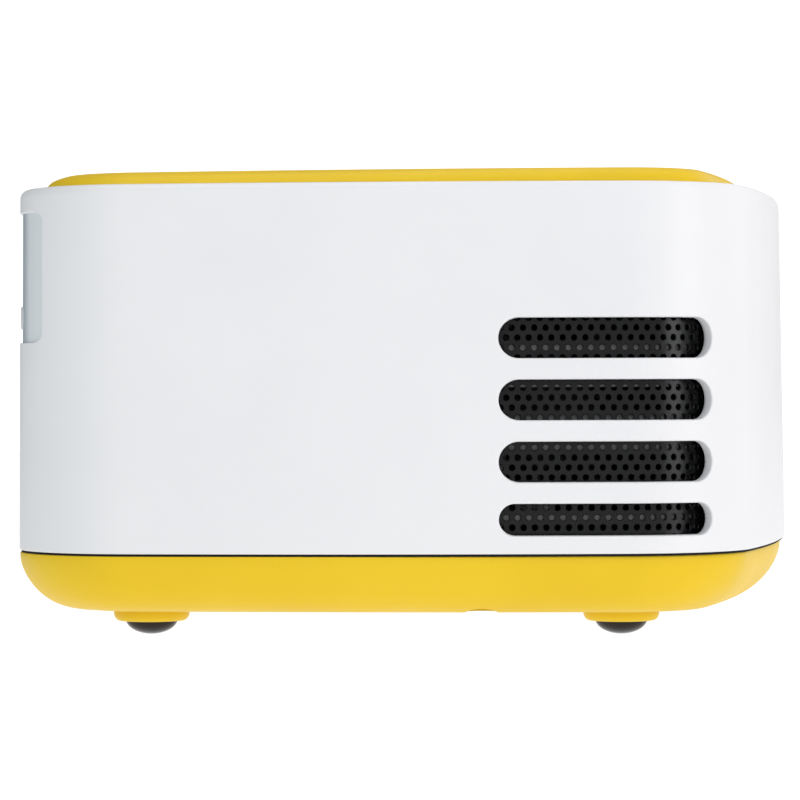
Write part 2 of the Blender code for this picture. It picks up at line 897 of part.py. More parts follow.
def tray_posts():
    engine_top = engine_low_z() - seat_gap
    across = engine_width / 2 - post_radius - wall
    fan_y = (fan_near_y + fan_far_y) / 2
    fan_top = fan_z - fan_size / 2 - seat_gap
    for side in (-1, 1):
        yield engine_x + side * across, engine_near_y + engine_post_inset, engine_top, post_radius
        yield engine_x + side * across, engine_far_y - engine_post_inset, engine_top, post_radius
        yield board_x, side * board_length * board_post_share, board_low_z - seat_gap, board_post_radius
        yield fan_x + side * fan_size * fan_post_share, fan_y, fan_top, post_radius
    yield speaker_x, speaker_front_y - overrun / 2, speaker_z - speaker_radius - seat_gap, post_radius


def seam_gasket():
    outer, inner = lap_width + seat_gap, wall - key_gap
    low = seam_z - lap_depth + seat_gap
    high = shell_low_z + lap_depth - seat_gap
    rings = [plan_ring(low, outer), plan_ring(high, outer), plan_ring(high, inner), plan_ring(low, inner)]
    loft("seam_gasket", rings, soft_rubber(), closed=True)


# Feet, screws and insert
def foot_pads():
    words = ("rear_near", "rear_far", "front_near", "front_far")
    rise = dome_height
    top = rise + pad_pocket_depth
    profile = [(top, 0), (top, dome_radius), (rise, dome_radius)]
    count = 3
    for step in range(1, count + 1):
        share = 1 - step / count
        out = dome_flat_radius + (dome_radius - dome_flat_radius) * math.sin(math.pi / 2 * share)
        profile.append((rise * (1 - math.cos(math.pi / 2 * share)), out))
    profile.append((0, 0))
    for word, (x, y) in zip(words, foot_places()):
        turned(f"foot_pad_{word}", profile, "Z", middle_steps, soft_rubber(), (x, y, 0))


def case_screws():
    words = ("rear_near", "front_near", "rear_far", "front_far")
    top = tray_bottom_z + counterbore_depth - seat_gap
    low = top - screw_head_height
    tip = top + screw_length - screw_head_height
    profile = [(tip, 0), (tip - screw_shank_radius, screw_shank_radius), (top, screw_shank_radius),
               (top, screw_head_radius), (low, screw_head_radius), (low, 0)]
    for word, (x, y) in zip(words, screw_places()):
        turned(f"case_screw_{word}", profile, "Z", small_steps, plated_steel(), (x, y, 0))


def tripod_insert():
    low, high = tray_bottom_z, tray_bottom_z + insert_length
    profile = [(low, insert_bore), (low, insert_radius), (high, insert_radius), (high, insert_bore)]
    turned("tripod_insert", profile, "Z", middle_steps, turned_brass())


# Perforated sheets behind the slots
def mesh_span():
    last_z, last_height = slot_place(slot_count - 1)
    low = last_z - last_height / 2 - mesh_margin
    high = slot_top_z + mesh_margin
    start = side_middle_run + slot_start - mesh_margin
    return start, start + slot_length + 2 * mesh_margin, low, high


def mesh_inset():
    return wall + front_draft + seat_gap


def vent_mesh(word, side):
    # staggered six-sided cells, each with a hole, joined edge to edge
    start, end, low, high = mesh_span()
    row_pitch = mesh_pitch * math.sqrt(3) / 2
    cell = mesh_pitch / math.sqrt(3)
    columns = int((end - start) / mesh_pitch)
    rows = int((high - low) / row_pitch)
    layers = (mesh_inset(), mesh_inset() + mesh_thickness)
    shape = bmesh.new()

    def corner(run, z, inset):
        point = wall_point(run, inset)
        return shape.verts.new((point.x, point.y * -side, z))

    for row in range(rows):
        z = low + row_pitch * (row + 1 / 2)
        shift = mesh_pitch / 2 * (row % 2)
        for column in range(columns - row % 2):
            run = start + mesh_pitch * (column + 1 / 2) + shift
            turns = [math.pi / 6 + math.pi / 3 * k for k in range(6)]
            loops = []
            for inset in layers:
                for radius in (cell, mesh_hole / 2):
                    loops.append([corner(run + radius * math.cos(t), z + radius * math.sin(t), inset)
                                  for t in turns])
            front_rim, front_hole, back_rim, back_hole = loops
            for k in range(6):
                after = (k + 1) % 6
                shape.faces.new((front_rim[k], front_rim[after], front_hole[after], front_hole[k]))
                shape.faces.new((back_rim[after], back_rim[k], back_hole[k], back_hole[after]))
                shape.faces.new((front_hole[k], front_hole[after], back_hole[after], back_hole[k]))
    bmesh.ops.remove_doubles(shape, verts=shape.verts, dist=cell_weld_gap)
    rims = [edge for edge in shape.edges if edge.is_boundary]
    bmesh.ops.bridge_loops(shape, edges=rims)
    return finish(f"vent_mesh_{word}", shape, black_steel())


def vent_frame(word, side):
    start, end, low, high = mesh_span()
    outer = mesh_inset() + mesh_thickness + seat_gap
    inner = outer + frame_depth
    count = 5
    runs = [start + (end - start) * step / count for step in range(count + 1)]
    middle_z, half = (low + high) / 2, (high - low) / 2
    halves = [half] * len(runs)
    frame = wall_band(f"vent_frame_{word}", runs, halves, middle_z, outer, inner, side, grey_plastic())
    clear = end - start - 2 * frame_end
    open_runs = [start + frame_end + clear * step / count for step in range(count + 1)]
    bays = slot_count + 1
    bay = (high - low - frame_rib) / bays
    bay_halves = [(bay - frame_rib) / 2] * len(open_runs)
    for index in range(bays):
        bay_z = low + frame_rib + bay * index + (bay - frame_rib) / 2
        cut(frame, wall_band(f"bay_{word}_{index}", open_runs, bay_halves, bay_z,
                             outer - overrun, inner + overrun, side))


# Lens group
def lens_group():
    here = (0, lens_y, lens_z)
    barrel_profile = [
        (barrel_rear_x, barrel_bore), (barrel_rear_x, barrel_radius), (barrel_front_x, barrel_radius),
        (barrel_front_x, barrel_bore - barrel_lip), (barrel_front_x - barrel_lip, barrel_bore - barrel_lip),
        (barrel_front_x - barrel_lip, barrel_bore)]
    barrel = turned("lens_barrel", barrel_profile, "X", round_steps, black_plastic(), here)
    groove_radius = barrel_radius + fit_gap + holder_wall + fit_gap
    pin_x = ring_rear_x + ring_lip + fit_gap + pin_radius
    pin_reach = groove_radius + ring_groove_depth - fit_gap
    join(barrel, prism("barrel_pin", circle(pin_radius, peg_steps, (pin_x, 0)), "Z",
                       -pin_reach, -(barrel_radius + barrel_bore) / 2, None, here))
    holder_bore = barrel_radius + fit_gap
    holder_radius = holder_bore + holder_wall
    holder_profile = [
        (holder_flange_x, holder_bore), (holder_flange_x, holder_radius + holder_flange_width),
        (holder_flange_x + holder_flange_thickness, holder_radius + holder_flange_width),
        (holder_flange_x + holder_flange_thickness, holder_radius + ring_lip),
        (holder_step_x, holder_radius + ring_lip), (holder_step_x, holder_radius),
        (holder_front_x, holder_radius), (holder_front_x, holder_bore)]
    holder = turned("lens_holder", holder_profile, "X", round_steps, black_plastic(), here)
    track_rear = pin_x - pin_radius - fit_gap
    track_front = pin_x + focus_travel + pin_radius + fit_gap
    track = rounded_rectangle(track_front - track_rear, 2 * (pin_radius + fit_gap), pin_radius / 2,
                              ((track_rear + track_front) / 2, 0), 2)
    cut(holder, prism("pin_track", track, "Z", -holder_radius - overrun, overrun - barrel_radius,
                      None, here))
    focus_ring_piece(holder_radius + fit_gap, here)
    front_lens_x = barrel_front_x - 2 * barrel_lip - front_lens_thickness
    lens("front_lens", front_lens_x, front_lens_thickness, here)
    lens("middle_lens", middle_lens_x, middle_lens_thickness, here)
    lens("rear_lens", rear_lens_x, rear_lens_thickness, here)


def focus_ring_piece(bore, here):
    # the toothed rim is a prism, the inner groove is turned and cut away
    outline = []
    for tooth in range(ring_tooth_count):
        for half_step, radius in ((0, ring_radius - ring_tooth_depth), (1, ring_radius)):
            turn = math.pi * (2 * tooth + half_step) / ring_tooth_count
            outline.append((radius * math.cos(turn), radius * math.sin(turn)))
    ring = prism("focus_ring", outline, "X", ring_rear_x, ring_front_x, grey_plastic(), here)
    groove = bore + ring_groove_depth
    core = [(ring_rear_x - overrun, 0), (ring_rear_x - overrun, bore), (ring_rear_x + ring_lip, bore),
            (ring_rear_x + ring_lip, groove), (ring_front_x - ring_lip, groove),
            (ring_front_x - ring_lip, bore), (ring_front_x + overrun, bore), (ring_front_x + overrun, 0)]
    cut(ring, turned("ring_core", core, "X", round_steps, None, here))


def lens(name, rear_x, thickness, here):
    # both faces bulge from a common edge
    radius = barrel_bore - seat_gap
    bulge = (thickness - lens_edge) / 2
    count = 2
    profile = []
    for step in range(count + 1):
        out = radius * math.sin(math.pi / 2 * step / count)
        profile.append((rear_x + bulge * (out / radius) ** 2, out))
    for step in range(count, -1, -1):
        out = radius * math.sin(math.pi / 2 * step / count)
        profile.append((rear_x + thickness - bulge * (out / radius) ** 2, out))
    return turned(name, profile, "X", lens_steps, optical_glass(), here)


def lens_bezel():
    # a tube with a funnel mouth whose front follows the bowed wall
    bore = barrel_radius + fit_gap
    rear = holder_front_x + fit_gap
    mouth_x = barrel_front_x - overrun
    far_x = half_depth + overrun
    profile = [(rear, bore), (rear, bezel_radius), (far_x, bezel_radius),
               (far_x, bezel_mouth_radius + overrun), (mouth_x, bore)]
    bezel = turned("lens_bezel", profile, "X", wide_steps, black_plastic(), (0, lens_y, lens_z))
    rings = [plan_ring(seam_z, bezel_inset), plan_ring(rim_z, bezel_inset, bezel_inset + front_draft)]
    combine(bezel, "INTERSECT", [loft("bezel_limit", rings)])


# Light engine
def engine():
    width, height = engine_width, engine_height
    low_z, high_z = lens_z - height / 2, lens_z + height / 2
    low_x, high_x = engine_x - width / 2, engine_x + width / 2
    box = block("engine_box", (low_x, engine_near_y, low_z),
                (high_x, engine_far_y, high_z - engine_wall - seat_gap), black_plastic())
    inner_low = (low_x + engine_wall, engine_near_y - overrun, low_z + engine_wall)
    inner_high = (high_x - engine_wall, engine_far_y - engine_wall, high_z + overrun)
    cut(box, block("engine_hollow", inner_low, inner_high))
    port = circle(barrel_radius + fit_gap, round_steps)
    cut(box, prism("engine_port", port, "X", high_x - engine_wall - overrun, high_x + overrun,
                   None, (0, lens_y, lens_z)))
    slot_middle = (panel_y + panel_thickness / 2, lens_z)
    slot = rectangle(4 * fit_gap, panel_height * ribbon_share + 2 * fit_gap, slot_middle)
    cut(box, prism("ribbon_slot", slot, "X", low_x - overrun, low_x + engine_wall + overrun))
    block("engine_lid", (low_x, engine_near_y, high_z - engine_wall),
          (high_x, engine_far_y, high_z), black_plastic())


def panel_frame():
    middle = (engine_x, lens_z)
    panel = prism("lcd_panel", rectangle(panel_width, panel_height, middle), "Y",
                  panel_y, panel_y + panel_thickness, black_plastic())
    window = rectangle(panel_width - 2 * panel_border, panel_height - 2 * panel_border, middle)
    deep = panel_thickness * panel_window_share
    far_y = panel_y + panel_thickness
    faces = ((panel_y - overrun, panel_y + deep), (far_y - deep, far_y + overrun))
    for index, (low, high) in enumerate(faces):
        cut(panel, prism(f"panel_window_{index}", window, "Y", low, high))


def fresnel(name, low_y, direction):
    # a thin sheet with stepped grooves on one side
    middle = (engine_x, lens_z)
    sheet = prism(name, rectangle(panel_width, panel_height, middle), "Y",
                  low_y, low_y + fresnel_thickness, optical_glass())
    face_y = low_y + fresnel_thickness if direction > 0 else low_y
    rings = 2
    step = panel_height / 2 / (rings + 1)
    deep = -direction * fresnel_thickness * groove_depth_share
    for ring in range(1, rings + 1):
        inner, outer = step * ring, step * (ring + 1 / 2)
        profile = [(face_y + direction * overrun, inner), (face_y + deep, inner),
                   (face_y + direction * overrun, outer)]
        cut(sheet, turned(f"{name}_groove_{ring}", profile, "Y", middle_steps, None,
                          (engine_x, 0, lens_z)))


def mirror():
    outline = rectangle(mirror_length, mirror_thickness)
    half = panel_height / 2
    plate = prism("mirror", outline, "Z", -half, half, silver_mirror(), (engine_x, lens_y, lens_z))
    plate.rotation_euler = (0, 0, -math.pi / 4)


def condenser():
    profile = []
    count = 3
    for step in range(count + 1):
        out = condenser_radius * math.sin(math.pi / 2 * step / count)
        bulge = (condenser_thickness - condenser_edge) * (1 - (out / condenser_radius) ** 2)
        profile.append((condenser_y + condenser_edge + bulge, out))
    profile.append((condenser_y, condenser_radius))
    profile.append((condenser_y, 0))
    turned("condenser_lens", profile, "Y", round_steps, optical_glass(), (engine_x, 0, lens_z))


def light_source():
    base_front = engine_near_y - seat_gap
    base_rear = base_front - heat_base
    pitch = (engine_width - heat_fin_thickness) / (heat_fin_count - 1)
    left = engine_x - engine_width / 2
    tip = base_rear - heat_fin_length
    comb = []
    for fin in range(heat_fin_count):
        x = left + fin * pitch
        back = x + heat_fin_thickness
        comb += [(x, base_rear), (x, tip), (back, tip), (back, base_rear)]
    outline = [(left, base_front)] + comb[1:-1] + [(left + engine_width, base_front)]
    low, high = lens_z - heat_height / 2, lens_z + heat_height / 2
    prism("heat_sink", outline, "Z", low, high, bare_aluminium())
    middle = (engine_x, lens_z)
    board_y = base_front + fit_gap
    prism("led_board", rounded_rectangle(led_board_size, led_board_size, wall, middle), "Y",
          board_y, board_y + led_board_thickness, board_laminate())
    chip_y = board_y + led_board_thickness + seat_gap
    prism("led_chip", rectangle(led_chip_size, led_chip_size, middle), "Y",
          chip_y, chip_y + led_chip_thickness, led_phosphor())


# Fan
def fan():
    middle = (fan_x, fan_z)
    far_y = fan_far_y
    frame = prism("fan_frame", rounded_rectangle(fan_size, fan_size, wall, middle, 3), "Y",
                  fan_near_y, far_y, black_plastic())
    cut(frame, prism("fan_bore", circle(fan_bore, round_steps), "Y", fan_near_y - overrun,
                     far_y + overrun, None, (fan_x, 0, fan_z)))
    seat = prism("fan_seat", circle(fan_hub_radius, middle_steps), "Y", far_y - fan_strut_thickness,
                 far_y, None, (fan_x, 0, fan_z))
    join(frame, seat)
    for index in range(3):
        reach = rectangle(fan_bore + wall - fan_hub_radius / 2, fan_strut_width,
                          ((fan_bore + wall + fan_hub_radius / 2) / 2, 0))
        strut = prism(f"fan_strut_{index}", reach, "Y", far_y - fan_strut_thickness, far_y - seat_gap,
                      None, (fan_x, 0, fan_z))
        strut.rotation_euler = (0, math.tau * index / 3, 0)
        join(frame, strut)
    for index, (side, level) in enumerate(((-1, -1), (-1, 1), (1, -1), (1, 1))):
        spot = fan_size / 2 - fan_screw_inset
        hole = circle(fan_screw_radius, peg_steps, (fan_x + side * spot, fan_z + level * spot))
        cut(frame, prism(f"fan_hole_{index}", hole, "Y", fan_near_y - overrun, far_y + overrun))
    fan_rotor(far_y)


def fan_rotor(far_y):
    # seven twisted blades lofted from the hub to the tip
    hub_low = far_y - fan_strut_thickness - fit_gap - fan_hub_height
    here = (fan_x, hub_low + fan_hub_height / 2, fan_z)
    half = fan_hub_height / 2
    profile = [(-half, 0), (-half, fan_hub_radius - fan_hub_round), (-half + fan_hub_round, fan_hub_radius),
               (half, fan_hub_radius), (half, 0)]
    rotor = turned("fan_rotor", profile, "Y", middle_steps, black_plastic(), here)
    tip = fan_bore - fan_tip_gap
    root = fan_hub_radius - overrun
    for blade in range(fan_blade_count):
        shape = bmesh.new()
        rows = []
        count = 2
        for step in range(count + 1):
            radius = root + (tip - root) * step / count
            sweep = fan_blade_twist * (1 + (fan_tip_sweep_share - 1) * step / count)
            corners = []
            for along, across in ((-1, -1), (1, -1), (1, 1), (-1, 1)):
                y = along * fan_blade_depth / 2
                x = along * sweep * fan_blade_depth + across * fan_blade_thickness / 2
                corners.append(shape.verts.new((x, y, radius)))
            rows.append(corners)
        for lower, upper in zip(rows, rows[1:]):
            for index in range(4):
                after = (index + 1) % 4
                shape.faces.new((lower[index], lower[after], upper[after], upper[index]))
        shape.faces.new(rows[0])
        shape.faces.new(rows[-1])
        wing = finish(f"fan_blade_{blade}", shape, None, here)
        wing.rotation_euler = (0, math.tau * blade / fan_blade_count, 0)
        join(rotor, wing)


# Speaker
def speaker():
    here = (speaker_x, 0, speaker_z)
    front = speaker_front_y
    rear = front - speaker_depth
    step_y = front - cone_depth - cone_thickness - fit_gap
    inner = speaker_radius - speaker_rim
    profile = [
        (rear, 0), (rear, magnet_radius), (step_y - wall, magnet_radius), (step_y - wall, inner),
        (front - overrun, speaker_radius), (front, speaker_radius), (front, inner),
        (front - cone_thickness - fit_gap, inner), (step_y, magnet_radius), (step_y, 0)]
    profile.reverse()
    turned("speaker_frame", profile, "Y", lens_steps, black_steel(), here)
    rim = inner - fit_gap
    cap = magnet_radius / 2
    low = front - cone_depth
    profile = [(low + cone_thickness, 0), (low, cap), (front, rim), (front - cone_thickness, rim),
               (low - cone_thickness, cap), (low, 0)]
    turned("speaker_cone", profile, "Y", lens_steps, paper_cone(), here)


# Boards and sockets
def main_board():
    low = (board_x, -board_length / 2, board_low_z)
    high = (board_x + board_thickness, board_length / 2, board_high_z)
    block("main_board", low, high, board_laminate())


def socket_outlines(gap):
    yield hdmi_y, socket_z, hdmi_outline(gap)
    yield usb_y, socket_z, rectangle(usb_width + 2 * gap, usb_height + 2 * gap)
    yield card_y, socket_z, rectangle(card_width + 2 * gap, card_height + 2 * gap)
    yield av_y, socket_z, circle(jack_radius + gap, small_steps)
    yield dc_y, socket_z, circle(jack_radius + gap, small_steps)
    yield ir_y, ir_z, ir_outline(gap)


def ir_outline(gap):
    radius = ir_height * ir_corner_share + gap
    return rounded_rectangle(ir_width + 2 * gap, ir_height + 2 * gap, radius, steps=2)


def hdmi_outline(gap):
    # the lower corners are cut back
    wide, narrow = hdmi_width / 2 + gap, hdmi_width / 2 * hdmi_narrow_share + gap
    top, low = hdmi_height / 2 + gap, -hdmi_height / 2 - gap
    bend = low * hdmi_corner_share
    return [(-narrow, low), (narrow, low), (wide, bend), (wide, top), (-wide, top), (-wide, bend)]


def sockets():
    rear = -half_depth + recess_depth + seat_gap
    inner = board_x - seat_gap
    back = inner - 2 * socket_wall

    def shell_of(name, outline, mouth, here):
        # a folded metal shell with its mouth cut in from the rear
        shell = prism(name, outline, "X", rear, inner, plated_steel(), here)
        return cut(shell, prism(f"{name}_mouth", mouth, "X", rear - overrun, back, None, here))

    def tongue_of(shell, outline, here):
        tongue = prism(f"{shell.name}_tongue", outline, "X", rear + overrun, back + socket_wall, None, here)
        join(shell, tongue)

    here = (0, hdmi_y, socket_z)
    hdmi = shell_of("hdmi_port", hdmi_outline(0), hdmi_outline(-socket_wall), here)
    tongue_of(hdmi, rectangle(hdmi_width * hdmi_tongue_share, tongue_thickness), here)
    here = (0, usb_y, socket_z)
    mouth = rectangle(usb_width - 2 * socket_wall, usb_height - 2 * socket_wall)
    usb = shell_of("usb_port", rectangle(usb_width, usb_height), mouth, here)
    tongue_of(usb, rectangle(usb_width * usb_tongue_share, usb_tongue_thickness, (0, usb_tongue_rise)), here)
    mouth = rectangle(card_width - 2 * socket_wall, card_height - 2 * socket_wall)
    shell_of("card_slot", rectangle(card_width, card_height), mouth, (0, card_y, socket_z))
    av_profile = [(back, 0), (back, av_bore), (rear, av_bore), (rear, jack_radius), (inner, jack_radius),
                  (inner, 0)]
    turned("av_jack", av_profile, "X", small_steps, black_plastic(), (0, av_y, socket_z))
    pin_rear = rear + overrun
    dc_profile = [(pin_rear, 0), (pin_rear, dc_pin_radius), (back, dc_pin_radius), (back, dc_bore),
                  (rear, dc_bore), (rear, jack_radius), (inner, jack_radius), (inner, 0)]
    turned("dc_jack", dc_profile, "X", small_steps, black_plastic(), (0, dc_y, socket_z))


def ir_window():
    rear = -half_depth + recess_depth - ir_proud
    front = board_x - seat_gap
    prism("ir_window", ir_outline(0), "X", rear, front, white_plastic(), (0, ir_y, ir_z))


def lcd_ribbon():
    low_x = board_x + board_thickness + fit_gap
    high_x = engine_x - panel_width / 2 - fit_gap
    half = panel_height * ribbon_share / 2
    y = panel_y + panel_thickness / 2
    low = (low_x, y - fit_gap / 2, lens_z - half)
    high = (high_x, y + fit_gap / 2, lens_z + half)
    block("lcd_ribbon", low, high, ribbon_film())


# Buttons
def keys():
    yield "ok_button", pad_x, pad_y, ok_radius
    yield "up_button", pad_x + pad_spread, pad_y, key_radius
    yield "down_button", pad_x - pad_spread, pad_y, key_radius
    yield "left_button", pad_x, pad_y + pad_spread, key_radius
    yield "right_button", pad_x, pad_y - pad_spread, key_radius
    yield "power_button", pad_x, pad_y - side_key_y, power_radius
    yield "menu_button", pad_x + side_key_spread, pad_y + side_key_y, key_radius
    yield "source_button", pad_x - side_key_spread, pad_y + side_key_y, key_radius


def light_place():
    return pad_x + light_offset, pad_y - side_key_y


def buttons():
    flange_low = key_board_low_z + key_board_thickness + key_switch_height + key_travel + key_gap
    for name, x, y, radius in keys():
        top = plate_top(x) + key_proud
        flange_top = flange_low + key_flange_height
        profile = [(flange_low, 0), (flange_low, radius + key_flange), (flange_top, radius + key_flange),
                   (flange_top, radius), (top - key_edge_round, radius), (top, radius - key_edge_round),
                   (top, 0)]
        profile.reverse()
        turned(name, profile, "Z", middle_steps, white_plastic(), (x, y, 0))


def button_board():
    low = (pad_x - key_board_depth / 2, -key_board_length / 2, key_board_low_z)
    high = (pad_x + key_board_depth / 2, key_board_length / 2, key_board_low_z + key_board_thickness)
    board = block("button_board", low, high, board_laminate())
    top = high[2]
    for name, x, y, radius in keys():
        outline = rectangle(key_switch_size, key_switch_size, (x, y))
        join(board, prism(f"{name}_switch", outline, "Z", top - key_board_thickness / 2,
                          top + key_switch_height))


def status_light():
    x, y = light_place()
    low = key_board_low_z + key_board_thickness + seat_gap
    top = plate_top(x)
    profile = [(low, 0), (low, light_radius), (top, light_radius), (top + key_gap, 0)]
    profile.reverse()
    turned("status_light", profile, "Z", peg_steps, optical_glass(), (x, y, 0))


def build():
    clear_scene()
    main_shell()
    top_plate()
    bottom_tray()
    seam_gasket()
    foot_pads()
    case_screws()
    tripod_insert()
    for side, word in ((-1, "near"), (1, "far")):
        vent_mesh(word, side)
        vent_frame(word, side)
    lens_group()
    lens_bezel()
    engine()
    panel_frame()
    fresnel("fresnel_inner", fresnel_inner_y, 1)
    fresnel("fresnel_outer", fresnel_outer_y, -1)
    mirror()
    condenser()
    light_source()
    fan()
    speaker()
    main_board()
    sockets()
    ir_window()
    lcd_ribbon()
    button_board()
    buttons()
    status_light()


build()
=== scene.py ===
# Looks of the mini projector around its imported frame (Blender 4.5, metres, +Z up, lens side at +X)
import json
import math

import bmesh
import bpy
from mathutils import Matrix, Vector


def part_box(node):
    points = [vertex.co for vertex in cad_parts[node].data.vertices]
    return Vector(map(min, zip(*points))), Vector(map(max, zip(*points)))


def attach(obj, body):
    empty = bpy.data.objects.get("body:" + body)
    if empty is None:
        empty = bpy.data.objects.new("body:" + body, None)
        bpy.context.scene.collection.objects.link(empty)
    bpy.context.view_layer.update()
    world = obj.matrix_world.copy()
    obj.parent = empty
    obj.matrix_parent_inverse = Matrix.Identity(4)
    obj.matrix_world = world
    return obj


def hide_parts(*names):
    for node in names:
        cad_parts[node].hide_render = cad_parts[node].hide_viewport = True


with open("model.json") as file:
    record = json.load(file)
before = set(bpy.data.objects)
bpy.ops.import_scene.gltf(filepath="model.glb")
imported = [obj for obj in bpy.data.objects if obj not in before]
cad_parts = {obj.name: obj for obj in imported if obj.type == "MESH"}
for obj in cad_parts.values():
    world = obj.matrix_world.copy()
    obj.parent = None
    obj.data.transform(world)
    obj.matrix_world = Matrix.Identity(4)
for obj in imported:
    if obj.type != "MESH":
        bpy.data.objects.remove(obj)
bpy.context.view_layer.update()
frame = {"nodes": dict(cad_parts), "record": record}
nodes = frame["nodes"]
print("frame loaded:", len(nodes), "nodes")

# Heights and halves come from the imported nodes
shellLow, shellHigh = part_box("main_shell")
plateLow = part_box("top_plate")[0]
insertLow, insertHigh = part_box("tripod_insert")
lensLow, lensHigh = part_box("front_lens")
halfDepth, halfLength = shellHigh.x, shellHigh.y
lowZ, rimZ = shellLow.z, shellHigh.z
seamZ = lowZ - 0.00025     # the seam's gap lies under the shell
trayBottom = insertLow.z
lensY, lensZ = (lensLow.y + lensHigh.y) / 2, (lensLow.z + lensHigh.z) / 2
weld = 1e-7        # merge distance of points that are the same
cellWeld = 1e-5    # the same for the edges of the sheet's cells
fit = 0.0002       # play round a piece that sits in another
over = 0.001       # how far a cutter reaches past what it cuts
sharpEdge = math.radians(38)


# Materials
def setInputs(tree, node, *inputs):
    # each input gets its value, or a link from another node's output
    for label, value in inputs:
        if isinstance(value, bpy.types.NodeSocket):
            tree.links.new(value, node.inputs[label])
        else:
            node.inputs[label].default_value = value
    return node


def addNode(tree, kind, *inputs, **settings):
    node = tree.nodes.new(kind)
    for name, value in settings.items():
        setattr(node, name, value)
    return setInputs(tree, node, *inputs)


def newMaterial(name, *inputs):
    made = bpy.data.materials.new(name)
    made.use_nodes = True
    tree = made.node_tree
    return made, tree, setInputs(tree, tree.nodes["Principled BSDF"], *inputs)


def objectPlace(tree):
    return addNode(tree, "ShaderNodeTexCoord").outputs["Object"]


def noiseFrom(tree, grain, detail, stretch=None):
    # noise whose spots are about one grain wide, in metres
    place = objectPlace(tree)
    if stretch:
        place = addNode(tree, "ShaderNodeMapping", ("Vector", place), ("Scale", stretch)).outputs["Vector"]
    noise = addNode(tree, "ShaderNodeTexNoise", ("Vector", place), ("Scale", 1 / grain), ("Detail", detail))
    return noise.outputs["Fac"]


def tint(tree, shader, factor, low, high, start=0.35, end=0.65):
    # base colour that drifts between two tints
    ramp = addNode(tree, "ShaderNodeValToRGB", ("Fac", factor))
    for stop, place, color in zip(ramp.color_ramp.elements, (start, end), (low, high)):
        stop.position, stop.color = place, (*color, 1)
    setInputs(tree, shader, ("Base Color", ramp.outputs["Color"]))


def spread(tree, shader, factor, low, high):
    # roughness that drifts between two values
    span = addNode(tree, "ShaderNodeMapRange", ("Value", factor), ("From Min", 0.3), ("From Max", 0.7),
                   ("To Min", low), ("To Max", high))
    setInputs(tree, shader, ("Roughness", span.outputs["Result"]))


def relief(tree, shader, factor, depth, strength):
    bump = addNode(tree, "ShaderNodeBump", ("Distance", depth), ("Strength", strength), ("Height", factor))
    setInputs(tree, shader, ("Normal", bump.outputs["Normal"]))


def mouldedPlastic(name, low, high, rough, grain=0.00016, depth=0.00001, specular=0.5, cloud=0.018, patch=0.006,
                   strength=0.35):
    # faint cloudiness, patches of gloss and the fine grain of the mould
    made, tree, shader = newMaterial(name, ("Specular IOR Level", specular))
    tint(tree, shader, noiseFrom(tree, cloud, 3), low, high)
    spread(tree, shader, noiseFrom(tree, patch, 4), *rough)
    relief(tree, shader, noiseFrom(tree, grain, 2), depth, strength)
    return made


def brushedMetal(name, low, high, rough, stretch, grain=0.0006, depth=0.000006):
    # metal with drawn or turned lines
    made, tree, shader = newMaterial(name, ("Metallic", 1.0))
    lines = noiseFrom(tree, grain, 3, stretch)
    tint(tree, shader, noiseFrom(tree, 0.004, 3), low, high)
    spread(tree, shader, lines, *rough)
    relief(tree, shader, lines, depth, 0.4)
    return made


def portPanelPaintedShade():
    # pale grey field of the ports with painted shade: a darker blue grey is painted where it faces the rear, as
    # shade where the wall turns away from the light
    made, tree, shader = newMaterial("rearFieldPaintedShade")
    apart = addNode(tree, "ShaderNodeSeparateXYZ", ("Vector", objectPlace(tree)))
    # painted shade: dark blue grey up to 0.9 mm in from the rear face, fading to pale grey at 2 mm
    turn = addNode(tree, "ShaderNodeMapRange", ("Value", apart.outputs["X"]), ("From Min", 0.0009 - halfDepth),
                   ("From Max", 0.0020 - halfDepth))
    tint(tree, shader, turn.outputs["Result"], (0.30, 0.37, 0.41), (0.69, 0.725, 0.745), 0.0, 1.0)
    spread(tree, shader, noiseFrom(tree, 0.006, 4), 0.40, 0.50)
    relief(tree, shader, noiseFrom(tree, 0.00016, 2), 0.00001, 0.35)
    return made


def coatedGlass(name, color, coat):
    # clear glass with the tint of an anti-reflex coat
    made, tree, shader = newMaterial(name, ("Transmission Weight", 1.0), ("IOR", 1.52),
                                     ("Specular Tint", (*coat, 1)))
    tint(tree, shader, noiseFrom(tree, 0.01, 2), color, tuple(min(c * 1.03, 1) for c in color))
    spread(tree, shader, noiseFrom(tree, 0.003, 3), 0.01, 0.03)
    return made


def greenLaminate():
    # board laminate: solder mask over copper tracks
    made, tree, shader = newMaterial("boardLaminate")
    bricks = addNode(tree, "ShaderNodeTexBrick", ("Vector", objectPlace(tree)), ("Scale", 260),
                     ("Mortar Size", 0.035), ("Color1", (0.010, 0.105, 0.040, 1)),
                     ("Color2", (0.012, 0.120, 0.046, 1)), ("Mortar", (0.030, 0.190, 0.075, 1)))
    setInputs(tree, shader, ("Base Color", bricks.outputs["Color"]))
    spread(tree, shader, noiseFrom(tree, 0.003, 3), 0.34, 0.5)
    relief(tree, shader, bricks.outputs["Fac"], 0.00002, 0.4)
    return made


def stripedFilm():
    # ribbon cable: copper lines under amber film
    made, tree, shader = newMaterial("ribbonFilm")
    waves = addNode(tree, "ShaderNodeTexWave", ("Vector", objectPlace(tree)), ("Scale", 320),
                    ("Distortion", 0.0), bands_direction="Z")
    tint(tree, shader, waves.outputs["Fac"], (0.22, 0.10, 0.02), (0.55, 0.30, 0.07))
    spread(tree, shader, noiseFrom(tree, 0.003, 3), 0.28, 0.42)
    return made


